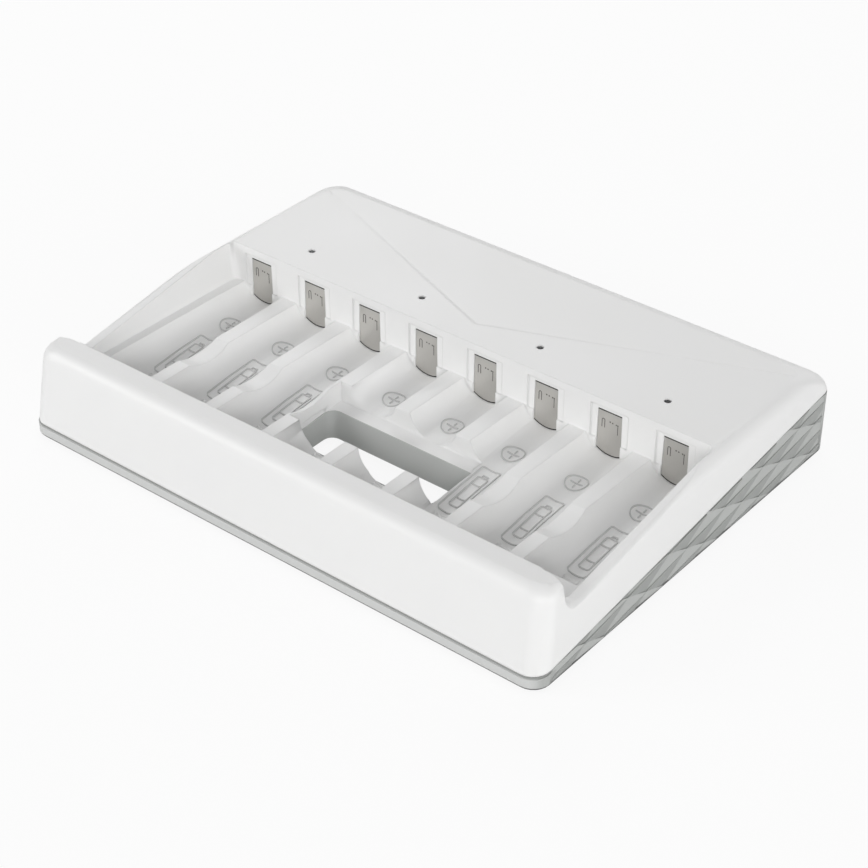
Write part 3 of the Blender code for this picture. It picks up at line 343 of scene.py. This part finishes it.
# Both mouldings are cut to the flare. The crease of the deck, a shallow strip beside its level
# face, keeps its sharp edges, which weighted normals would smooth away.
deck_low, level_tilt, crease_tilt = 26.2, 0.5, (14, 21)
for piece, sharp_angle in ((top_housing, top_sharp), (base_housing, base_sharp)):
    cut = piece.modifiers.new("opening", "BOOLEAN")
    cut.object, cut.solver = knife, "EXACT"
    piece.modifiers["weighted"].show_viewport = False
    bpy.context.view_layer.update()
    look = bpy.context.evaluated_depsgraph_get()
    piece.data = bpy.data.meshes.new_from_object(piece.evaluated_get(look), depsgraph=look)
    piece.data.name = piece.name
    piece.data.set_sharp_from_angle(angle=math.radians(sharp_angle))
    work = bmesh.new()
    work.from_mesh(piece.data)
    for edge in work.edges:
        tilts = sorted(math.degrees(face.normal.angle(Vector((0, 0, 1)))) for face in edge.link_faces)
        creased = len(tilts) == 2 and tilts[0] < level_tilt and crease_tilt[0] < tilts[1] < crease_tilt[1]
        if creased and edge.verts[0].co.z > deck_low * MM:
            edge.smooth = False
    work.to_mesh(piece.data)
    work.free()
    piece.modifiers.remove(cut)
    piece.modifiers["weighted"].show_viewport = True
bpy.data.objects.remove(knife)

work = bmesh.new()
looped(work, [flared(shaft_foot, 0.0), flared(None, 0.0), flared(None, wall_t), flared(shaft_foot, wall_t)], True)
finger_shaft = new_piece("finger_shaft", work, 40)
# Painted light: a lighter grey than the base's, for the same moulding.
dress(finger_shaft, moulded_plastic("grey_abs_shaft_painted_light", (188, 190, 188), (193, 195, 193)))
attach(finger_shaft, "root")

# --- Seam between the mouldings ------------------------------------------------------------
# The base's locating rib fills most of the gap under the top housing. It stands a little back
# from the outer faces, so the seam is a soft grey line. Its grey is deeper than the base's,
# painted shade of the seam.
half_x, front_y, back_y, corners = 84.6, -76.2, 51.3, (5.0, 5.0, 3.5, 3.5)
rib_out, rib_in, rib_foot, rib_top = 0.4, 2.6, -0.04, 0.5
work = bmesh.new()
rib = []
for inset, rise in ((rib_out, rib_foot), (rib_out, rib_top), (rib_in, rib_top), (rib_in, rib_foot)):
    loop = rounded_loop(-half_x, half_x, front_y, back_y, corners, grow=-inset, steps=10)
    rib.append([(x, y, seam_at + seam_fall * y + rise) for x, y in loop])
looped(work, rib, True)
seam_rib = new_piece("seam_rib", work, 30)
# Painted shade: a deeper grey than the base's, for the same moulding.
dress(seam_rib, moulded_plastic("grey_abs_rib_painted_shade", (150, 152, 150), (155, 157, 155)))
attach(seam_rib, "root")

# --- Marks in the channels -----------------------------------------------------------------
# Raised lines in the mould of the top housing: a ring with a plus sign near each contact plate,
# and a plain outline of a cell on the floor of six channels. The lines are a deeper white than
# the housing, painted shade of their relief.
channels, pitch = 8, 20.0
trough_r, trough_z, trough_fall = 7.9, 17.2, 0.055
groove_r, groove_z, groove_fall = 5.7, 16.6, 0.113
groove_end = -45.3


def channel_floor(x, y):
    """Height of the channel floor in mm, x from the channel's middle and y from the contact wall."""
    z = trough_z + trough_fall * y - math.sqrt(max(trough_r ** 2 - x ** 2, 0.0))
    if abs(x) < groove_r and y > groove_end:
        z = min(z, groove_z + groove_fall * y - math.sqrt(groove_r ** 2 - x ** 2))
    return z


def ridge(work, points, width, profile, place, closed=False):
    """A moulded line along flat points: profile has (side, rise) pairs, and place sets them in space."""
    count = len(points)
    rows = []
    for i, (u, v) in enumerate(points):
        ahead = points[(i + 1) % count] if closed or i + 1 < count else points[i]
        behind = points[i - 1] if closed or i else points[i]
        run = Vector((ahead[0] - behind[0], ahead[1] - behind[1])).normalized() * width
        rows.append([work.verts.new(placed(*place(u - run.y * side, v + run.x * side, rise)))
                     for side, rise in profile])
    for i in range(count if closed else count - 1):
        here, there = rows[i], rows[(i + 1) % count]
        for k in range(3):
            work.faces.new((here[k], here[k + 1], there[k + 1], there[k]))
    if not closed:
        work.faces.new(rows[0])
        work.faces.new(rows[-1][::-1])


def raised_line(work, points, closed=False, width=0.4, height=0.3, root=-0.06):
    """One line that lies on the channel floor."""
    ridge(work, points, width, ((0.5, root), (0.34, height), (-0.34, height), (-0.5, root)),
          lambda x, y, rise: (x, y, channel_floor(x, y) + rise), closed)


def row_of_channels():
    """Tree that repeats a mark along the row of channels, except where it is skipped."""
    tree = bpy.data.node_groups.new("row_of_channels", "GeometryNodeTree")
    face = tree.interface
    face.new_socket("Mark", in_out="INPUT", socket_type="NodeSocketGeometry")
    for label, kind in (("Count", "Int"), ("Pitch", "Float"), ("Skip From", "Int"), ("Skip To", "Int"),
                        ("Material", "Material")):
        face.new_socket(label, in_out="INPUT", socket_type="NodeSocket" + kind)
    face.new_socket("Row", in_out="OUTPUT", socket_type="NodeSocketGeometry")
    new, link = tree.nodes.new, tree.links.new
    given, result = new("NodeGroupInput"), new("NodeGroupOutput")
    line, place = new("GeometryNodeMeshLine"), new("GeometryNodeInstanceOnPoints")
    step, start = new("ShaderNodeCombineXYZ"), new("ShaderNodeCombineXYZ")
    span, middle = new("ShaderNodeMath"), new("ShaderNodeMath")
    span.operation, span.inputs[1].default_value = "SUBTRACT", 1.0
    middle.operation = "MULTIPLY"
    half = new("ShaderNodeMath")
    half.operation, half.inputs[1].default_value = "MULTIPLY", -0.5
    link(given.outputs["Count"], span.inputs[0])
    link(span.outputs[0], middle.inputs[0])
    link(given.outputs["Pitch"], middle.inputs[1])
    link(middle.outputs[0], half.inputs[0])
    link(half.outputs[0], start.inputs["X"])
    link(given.outputs["Pitch"], step.inputs["X"])
    link(given.outputs["Count"], line.inputs["Count"])
    link(start.outputs[0], line.inputs["Start Location"])
    link(step.outputs[0], line.inputs["Offset"])
    index, low, high, both = (new("GeometryNodeInputIndex"), new("FunctionNodeCompare"), new("FunctionNodeCompare"),
                              new("FunctionNodeBooleanMath"))
    for test, mode, edge in ((low, "GREATER_EQUAL", "Skip From"), (high, "LESS_EQUAL", "Skip To")):
        test.data_type, test.operation = "INT", mode
        link(index.outputs[0], test.inputs[2])
        link(given.outputs[edge], test.inputs[3])
    link(low.outputs[0], both.inputs[0])
    link(high.outputs[0], both.inputs[1])
    cut = new("GeometryNodeDeleteGeometry")
    link(line.outputs["Mesh"], cut.inputs["Geometry"])
    link(both.outputs[0], cut.inputs["Selection"])
    real, paint = new("GeometryNodeRealizeInstances"), new("GeometryNodeSetMaterial")
    link(cut.outputs["Geometry"], place.inputs["Points"])
    link(given.outputs["Mark"], place.inputs["Instance"])
    link(place.outputs["Instances"], real.inputs["Geometry"])
    link(real.outputs["Geometry"], paint.inputs["Geometry"])
    link(given.outputs["Material"], paint.inputs["Material"])
    link(paint.outputs["Geometry"], result.inputs["Row"])
    return tree


row_tree = row_of_channels()
no_skip = (90, 90)


def repeated(work, name, material, skip=no_skip, smooth=False):
    """Repeats the shape in work over the channels, all but those in skip, and makes it one plain mesh."""
    bmesh.ops.recalc_face_normals(work, faces=work.faces)
    for face in work.faces:
        face.smooth = smooth
    mesh = bpy.data.meshes.new(name)
    work.to_mesh(mesh)
    work.free()
    master = bpy.data.objects.new(name + "_one", mesh)
    bpy.context.scene.collection.objects.link(master)
    rows = master.modifiers.new("row", "NODES")
    rows.node_group = row_tree
    values = {"Count": channels, "Pitch": pitch * MM, "Skip From": skip[0], "Skip To": skip[1], "Material": material}
    for socket in row_tree.interface.items_tree:
        if socket.name in values:
            rows[socket.identifier] = values[socket.name]
    bpy.context.view_layer.update()
    look = bpy.context.evaluated_depsgraph_get()
    made = bpy.data.meshes.new_from_object(master.evaluated_get(look), depsgraph=look)
    bpy.data.objects.remove(master)
    made.name = name
    piece = bpy.data.objects.new(name, made)
    bpy.context.scene.collection.objects.link(piece)
    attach(piece, "root")
    return piece


ring_y, ring_r, ring_steps, arm_step = -13.8, 3.0, 36, 0.62
work = bmesh.new()
turns = [math.radians(360 * k / ring_steps) for k in range(ring_steps)]
raised_line(work, [(ring_r * math.cos(a), ring_y + ring_r * math.sin(a)) for a in turns], closed=True)
raised_line(work, [(k * arm_step, ring_y) for k in range(-3, 4)])
for arm in (range(-3, 0), range(1, 4)):
    raised_line(work, [(0.0, ring_y + k * arm_step) for k in arm])
# Painted shade: the marks' white is deeper than the housing's.
shaded_mark_white = moulded_plastic("white_abs_mark_painted_shade", (200, 200, 200), (206, 206, 205))
polarity_marks = repeated(work, "polarity_marks", shaded_mark_white)


def along(points, step=0.7):
    """Points with more between them, so that a line follows the curved floor."""
    result = []
    for (x0, y0), (x1, y1) in zip(points, points[1:]):
        parts = max(1, round(math.hypot(x1 - x0, y1 - y0) / step))
        result += [(x0 + (x1 - x0) * k / parts, y0 + (y1 - y0) * k / parts) for k in range(parts)]
    return result + [points[-1]]


def frame_line(work, x, y0, y1, cut):
    """A closed rectangle with cut corners."""
    corners = [(x - cut, y0), (x, y0 + cut), (x, y1 - cut), (x - cut, y1), (cut - x, y1), (-x, y1 - cut),
               (-x, y0 + cut), (cut - x, y0), (x - cut, y0)]
    raised_line(work, along(corners)[:-1], closed=True)


# The plain outline: a frame, in it the body of a cell with two bands, and the cell's tip.
body_half, body_front, body_back = 1.5, -38.6, -26.2
tip_half, tip_root, tip_end = 0.7, -25.9, -25.2
band_half, bands = 1.2, (-29.4, -35.6)
no_outline = (3, 4)
work = bmesh.new()
frame_line(work, 2.8, -41.5, -22.5, 0.5)
frame_line(work, body_half, body_front, body_back, 0.35)
raised_line(work, along([(-tip_half, tip_root), (-tip_half, tip_end), (tip_half, tip_end), (tip_half, tip_root)]))
for y in bands:
    raised_line(work, along([(-band_half, y), (band_half, y)]))
cell_marks = repeated(work, "cell_marks", shaded_mark_white, skip=no_outline)

# --- Contacts ------------------------------------------------------------------------------
# Nickel-plated spring strip, stamped and folded. The plates behind the windows are soldered
# to the main board, and the sprung strips behind the lip to the small one.


def patches():
    """Group for a finish that varies in patches, or in streaks where one axis is stretched."""
    group = bpy.data.node_groups.new("patches", "ShaderNodeTree")
    face = group.interface
    face.new_socket("Stretch", in_out="INPUT", socket_type="NodeSocketVector").default_value = (1.0, 1.0, 1.0)
    for label, value in (("Scale", 1000.0), ("Detail", 5.0), ("Rough Low", 0.4), ("Rough High", 0.5)):
        face.new_socket(label, in_out="INPUT", socket_type="NodeSocketFloat").default_value = value
    for label in ("Dark Colour", "Light Colour"):
        face.new_socket(label, in_out="INPUT", socket_type="NodeSocketColor")
    face.new_socket("Colour", in_out="OUTPUT", socket_type="NodeSocketColor")
    for label in ("Roughness", "Height"):
        face.new_socket(label, in_out="OUTPUT", socket_type="NodeSocketFloat")
    new = group.nodes.new
    given, result, place = new("NodeGroupInput"), new("NodeGroupOutput"), new("ShaderNodeTexCoord")
    run, noise, gloss, tone = (new("ShaderNodeMapping"), new("ShaderNodeTexNoise"), new("ShaderNodeMapRange"),
                               new("ShaderNodeMix"))
    tone.data_type = "RGBA"
    for source, target in ((place.outputs["Object"], run.inputs["Vector"]),
                           (given.outputs["Stretch"], run.inputs["Scale"]),
                           (run.outputs["Vector"], noise.inputs["Vector"]),
                           (given.outputs["Scale"], noise.inputs["Scale"]),
                           (given.outputs["Detail"], noise.inputs["Detail"]),
                           (noise.outputs["Fac"], gloss.inputs["Value"]),
                           (given.outputs["Rough Low"], gloss.inputs["To Min"]),
                           (given.outputs["Rough High"], gloss.inputs["To Max"]),
                           (noise.outputs["Fac"], tone.inputs["Factor"]),
                           (given.outputs["Dark Colour"], tone.inputs["A"]),
                           (given.outputs["Light Colour"], tone.inputs["B"]),
                           (tone.outputs["Result"], result.inputs["Colour"]),
                           (gloss.outputs["Result"], result.inputs["Roughness"]),
                           (noise.outputs["Fac"], result.inputs["Height"])):
        group.links.new(source, target)
    return group


patch_group = patches()


def speckled(name, dark, light, size, rough, metallic=0.0, bump_depth=0.1, coat=0.0, relief=None, glossy=1.15,
             detail=5.0, stretch=(1.0, 1.0, 1.0)):
    """A finish whose tone, gloss and height vary in patches of one size."""
    material, shader = new_material(name, rough, metallic)
    shader.inputs["Coat Weight"].default_value = coat
    tree = material.node_tree.nodes
    group, bump = tree.new("ShaderNodeGroup"), tree.new("ShaderNodeBump")
    group.node_tree = patch_group
    for label, value in (("Stretch", stretch), ("Scale", 1.0 / size), ("Detail", detail),
                         ("Rough Low", rough * 0.85), ("Rough High", min(rough * glossy, 1.0)),
                         ("Dark Colour", linear(dark)), ("Light Colour", linear(light))):
        group.inputs[label].default_value = value
    bump.inputs["Strength"].default_value, bump.inputs["Distance"].default_value = bump_depth, relief or size
    wire(material, (group.outputs["Colour"], shader.inputs["Base Color"]),
         (group.outputs["Roughness"], shader.inputs["Roughness"]),
         (group.outputs["Height"], bump.inputs["Height"]), (bump.outputs["Normal"], shader.inputs["Normal"]))
    return material


def rolled_strip(name, tint, rough, stretch, metallic=1.0):
    """Strip with the fine lengthwise marks that rolling leaves."""
    return speckled(name, tuple(v - 9 for v in tint), tint, 1 / 900, rough, metallic, bump_depth=0.12,
                    relief=0.00005, glossy=1.25, detail=4.0, stretch=stretch)


def repaint(prefixes, material):
    for node, part in nodes.items():
        if node.startswith(prefixes):
            for slot in part.material_slots:
                slot.material = material


nickel = rolled_strip("nickel_strip", (205, 203, 199), 0.38, (8.0, 1.0, 1.0))
repaint(("positive_contact",), nickel)

# The sprung strip of each channel: a low pad for the short cell, a seat on the housing, a bowed
# leaf for the long cell, and a tail through the floor to the small board.
strip_t = 0.4
strip_path = [(-44.8, 6.62, 1.8), (-44.82, 6.5, 1.8), (-44.95, 6.36, 1.8), (-45.2, 6.3, 1.8), (-46.58, 6.3, 1.8),
              (-46.6, 6.3, 3.8), (-50.1, 6.3, 3.8), (-50.45, 6.42, 3.8), (-50.62, 6.8, 3.8), (-50.3, 7.9, 3.8),
              (-49.8, 9.2, 3.8), (-49.55, 9.8, 3.8), (-49.6, 10.3, 3.8), (-49.95, 10.8, 3.5), (-50.45, 11.2, 2.6)]
work = bmesh.new()
rows = []
for i, (y, z, half) in enumerate(strip_path):
    (y0, z0, _), (y1, z1, _) = strip_path[max(i - 1, 0)], strip_path[min(i + 1, len(strip_path) - 1)]
    run = Vector((y1 - y0, z1 - z0)).normalized() * strip_t / 2
    rows.append([work.verts.new(placed(x, y + a * run.y, z - a * run.x))
                 for x, a in ((-half, -1), (half, -1), (half, 1), (-half, 1))])
for here, there in zip(rows, rows[1:]):
    for k in range(4):
        work.faces.new((here[k], here[(k + 1) % 4], there[(k + 1) % 4], there[k]))
work.faces.new(rows[0])
work.faces.new(list(reversed(rows[-1])))
tail_half = 1.5
for tail_y, tail_z, deep, tall in ((-51.65, 5.05, 0.4, 3.1), (-50.95, 6.3, 1.8, 0.34)):
    for point in bmesh.ops.create_cube(work, size=1.0)["verts"]:
        x, y, z = point.co
        point.co = placed(x * tail_half * 2, y * deep + tail_y, z * tall + tail_z)
sprung_strips = repeated(work, "sprung_strips", nickel)
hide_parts(*[f"negative_contact_{i}" for i in range(1, 9)])

# The housing's floor behind each pad, carried on over the end of the pad's slot.
cover_x, cover_y = (-2.3, -1.6, -0.8, 0.0, 0.8, 1.6, 2.3), (-44.45, -43.9, -43.4, -42.9)
cover_rise, cover_t = 0.015, 0.9
work = bmesh.new()
grid = [[work.verts.new(placed(x, y, channel_floor(x, y) + cover_rise)) for x in cover_x] for y in cover_y]
low = [[work.verts.new(v.co - Vector((0, 0, cover_t * MM))) for v in row] for row in grid]
for rows, order in ((grid, (0, 1, 2, 3)), (low, (0, 3, 2, 1))):
    for here, there in zip(rows, rows[1:]):
        for k in range(len(cover_x) - 1):
            corners = here[k], here[k + 1], there[k + 1], there[k]
            work.faces.new([corners[i] for i in order])
rim, foot = ([*rows[0], *(row[-1] for row in rows[1:]), *rows[-1][-2::-1], *(row[0] for row in rows[-2:0:-1])]
             for rows in (grid, low))
for k in range(len(rim)):
    m = (k + 1) % len(rim)
    work.faces.new((rim[k], foot[k], foot[m], rim[m]))
pad_floors = repeated(work, "pad_floors", white, smooth=True)
dark_mark_nickel = rolled_strip("pressed_nickel", (120, 118, 115), 0.5, (1.0, 1.0, 1.0))
plate_x, plate_y = -0.4, 0.55


def stamped(work, points, width, proud=0.06, root=-0.05):
    """A pressed line on the face of a contact plate, along points (x, z) in mm."""
    ridge(work, points, width, ((0.5, root), (0.35, proud), (-0.35, proud), (-0.5, root)),
          lambda x, z, rise: (plate_x + x, plate_y - rise, z))


# A black strip at each plate's upper and lower end is painted shadow: it darkens the gap between the plate and its
# window.
gap_shadow = rolled_strip("painted_gap_shadow", (24, 24, 25), 0.55, (1.0, 1.0, 4.0), metallic=0.0)
shadow_half, shadow_top, shadow_proud, arc_r, arc_steps = 3.75, 22.55, 0.02, trough_r - 0.2, 12
work = bmesh.new()
stamped(work, [(-shadow_half, shadow_top), (shadow_half, shadow_top)], 0.56, shadow_proud)
spots = [-shadow_half + 2 * shadow_half * k / arc_steps for k in range(arc_steps + 1)]
stamped(work, [(x, trough_z - math.sqrt(arc_r ** 2 - (x + plate_x) ** 2)) for x in spots], 0.4, shadow_proud)
plate_gap_shadows = repeated(work, "plate_gap_shadows", gap_shadow)

# Marks that the press leaves in the face of each plate, in a deeper nickel tone than the plate.
slot_top, slot_foot, slot_x, slot_r = 19.6, 17.4, -2.0, 0.42
dot_xs, dot_half, dot_z, dot_fall = (0.05, 0.85, 1.95, 2.45), 0.16, 19.7, 0.1
line_x, line_top, line_foot = 2.45, 19.2, 16.6
work = bmesh.new()
turns = [a * math.pi / 6 for a in range(7)]
cap = [(slot_x + slot_r * math.cos(a), slot_top + slot_r * math.sin(a)) for a in turns]
stamped(work, [(slot_x + slot_r, slot_foot)] + cap + [(slot_x - slot_r, slot_foot)], 0.22)
for x in dot_xs:
    stamped(work, [(x - dot_half, dot_z - dot_fall * x), (x + dot_half, dot_z - dot_fall * x)], 0.45)
stamped(work, [(line_x, line_top), (line_x, line_foot)], 0.2)
plate_marks = repeated(work, "plate_marks", dark_mark_nickel)

# --- Lamps of the deck ---------------------------------------------------------------------
# Four smoked acrylic light pipes, pressed into the deck from below, each over a lamp on the
# main board. They are dark while the charger is off.
smoked = speckled("smoked_acrylic", (10, 11, 13), (16, 17, 20), 0.004, 0.35, bump_depth=0.01)
smoked.node_tree.nodes["Principled BSDF"].inputs["Specular IOR Level"].default_value = 0.2
repaint(("light_pipe",), smoked)
repaint(("indicator_led",), speckled("lamp_body", (228, 226, 214), (238, 236, 226), 0.001, 0.35))

# --- Boards and their parts ----------------------------------------------------------------
# Two glass-epoxy boards with a green mask over the copper tracks, and on them moulded chips,
# a ferrite choke and two sleeved capacitors. All of it is hidden inside the closed housing.
board, shader = new_material("green_mask", 0.35)
tree = board.node_tree.nodes
place, tracks, pick, tone, bump = (tree.new("ShaderNode" + kind) for kind in
                                   ("TexCoord", "TexBrick", "MapRange", "Mix", "Bump"))
tracks.inputs["Scale"].default_value = 120.0
tracks.inputs["Mortar Size"].default_value = 0.03
tone.data_type = "RGBA"
tone.inputs["A"].default_value, tone.inputs["B"].default_value = linear((18, 74, 44)), linear((30, 104, 62))
bump.inputs["Strength"].default_value, bump.inputs["Distance"].default_value = 0.3, 0.00004
wire(board, (place.outputs["Object"], tracks.inputs["Vector"]), (tracks.outputs["Fac"], pick.inputs["Value"]),
     (pick.outputs["Result"], tone.inputs["Factor"]), (tone.outputs["Result"], shader.inputs["Base Color"]),
     (tracks.outputs["Fac"], bump.inputs["Height"]), (bump.outputs["Normal"], shader.inputs["Normal"]))
repaint(("circuit_board", "front_contact_board"), board)
repaint(("control_chip", "charge_driver"), speckled("moulded_epoxy", (26, 26, 28), (36, 36, 38), 0.0003, 0.6))
repaint(("power_inductor",), speckled("pressed_ferrite", (48, 48, 52), (64, 64, 68), 0.0005, 0.7, bump_depth=0.3))
repaint(("capacitor",), speckled("shrunk_sleeve", (22, 26, 48), (30, 36, 62), 0.003, 0.25, coat=0.3))

# --- Loom, screws, feet and inlet ----------------------------------------------------------
# A flat loom joins the boards. Six zinc-plated screws hold the base, four rubber feet are
# glued in their seats, and the drawn steel shell of the power inlet opens at the rear.
repaint(("wire_loom",), speckled("loom_sleeve", (118, 118, 124), (140, 140, 146), 0.0008, 0.55))
repaint(("housing_screw",), speckled("zinc_plating", (168, 168, 170), (196, 196, 196), 0.0006, 0.35, 1.0, 0.05))
repaint(("rubber_foot",), speckled("foot_rubber", (44, 44, 45), (60, 60, 60), 0.0004, 0.85, bump_depth=0.25))
repaint(("power_inlet",), speckled("drawn_steel", (170, 169, 166), (194, 193, 190), 0.001, 0.3, 1.0, 0.04))

# --- Floor, light and camera ---------------------------------------------------------------
# A pale sweep, lamps and the camera at the photograph's angle. None of it is part of the
# charger.
floor_mesh = bpy.data.meshes.new("floor")
reach = 3
floor_mesh.from_pydata([(-reach, -reach, 0), (reach, -reach, 0), (reach, reach, 0), (-reach, reach, 0)], [],
                       [(0, 1, 2, 3)])
floor = bpy.data.objects.new("floor", floor_mesh)
bpy.context.scene.collection.objects.link(floor)
paper, shader = new_material("floor_paper", 0.8)
shader.inputs["Base Color"].default_value = (0.9, 0.9, 0.9, 1.0)


def seen_by(tree, *kinds):
    """1 for the kinds of rays that see the background itself, and 0 for those that light the charger."""
    path = tree.nodes.new("ShaderNodeLightPath")
    mask = path.outputs[kinds[0]]
    for kind in kinds[1:]:
        either = tree.nodes.new("ShaderNodeMath")
        either.operation = "MAXIMUM"
        tree.links.new(mask, either.inputs[0])
        tree.links.new(path.outputs[kind], either.inputs[1])
        mask = either.outputs[0]
    return mask


tree = paper.node_tree.nodes
share, glow, mix = tree.new("ShaderNodeMath"), tree.new("ShaderNodeEmission"), tree.new("ShaderNodeMixShader")
share.operation, share.inputs[1].default_value = "MULTIPLY", 0.9
wire(paper, (seen_by(paper.node_tree, "Is Camera Ray", "Is Transmission Ray"), share.inputs[0]),
     (share.outputs[0], mix.inputs["Fac"]), (shader.outputs[0], mix.inputs[1]), (glow.outputs[0], mix.inputs[2]),
     (mix.outputs[0], tree["Material Output"].inputs["Surface"]))
dress(floor, paper)

world = bpy.data.worlds.new("studio")
bpy.context.scene.world = world
world.use_nodes = True
strength, background = world.node_tree.nodes.new("ShaderNodeMapRange"), world.node_tree.nodes["Background"]
strength.inputs["To Min"].default_value, strength.inputs["To Max"].default_value = 0.24, 1.0
background.inputs["Color"].default_value = (1.0, 1.0, 1.0, 1.0)
rays = seen_by(world.node_tree, "Is Camera Ray", "Is Glossy Ray", "Is Transmission Ray")
wire(world, (rays, strength.inputs["Value"]), (strength.outputs["Result"], background.inputs["Strength"]))


def soft_lamp(name, place, power, size):
    """A square soft box that looks at the charger."""
    light = bpy.data.lights.new(name, "AREA")
    light.size, light.energy = size, power
    lamp = bpy.data.objects.new(name, light)
    lamp.location = place
    lamp.rotation_euler = (-Vector(place)).to_track_quat("-Z", "Y").to_euler()
    bpy.context.scene.collection.objects.link(lamp)


for name, place, power, size in (("front_left_box", (-1.2, -1.1, 0.7), 11.6, 0.8),
                                 ("front_right_box", (1.1, -1.2, 0.7), 11.8, 0.8),
                                 ("right_box", (1.5, 0.1, 0.3), 6.9, 0.8),
                                 ("rear_left_box", (-0.62, 0.6, 0.62), 2.1, 0.5),
                                 ("rear_box", (-0.3, 1.5, 0.5), 3.0, 0.8),
                                 ("top_box", (0.0, 0.0, 1.6), 0.9, 0.8)):
    soft_lamp(name, place, power, size)

# The camera stands where it was solved from the edges in the photograph.
eye = bpy.data.cameras.new("camera")
eye.lens, eye.sensor_width, eye.sensor_height, eye.clip_start = 87.37, 36.0, 36.0, 0.01
camera = bpy.data.objects.new("camera", eye)
bpy.context.scene.collection.objects.link(camera)
back = Vector((0.5175, -0.6379, 0.5703)).normalized()
right = Vector((0.7766, 0.6300, 0.0)).normalized()
turn = Matrix((right, back.cross(right), back)).transposed().to_4x4()
turn.translation = Vector((0.2924, -0.35715, 0.3226))
camera.matrix_world = turn
bpy.context.scene.camera = camera
bpy.context.scene.view_settings.view_transform = "Standard"
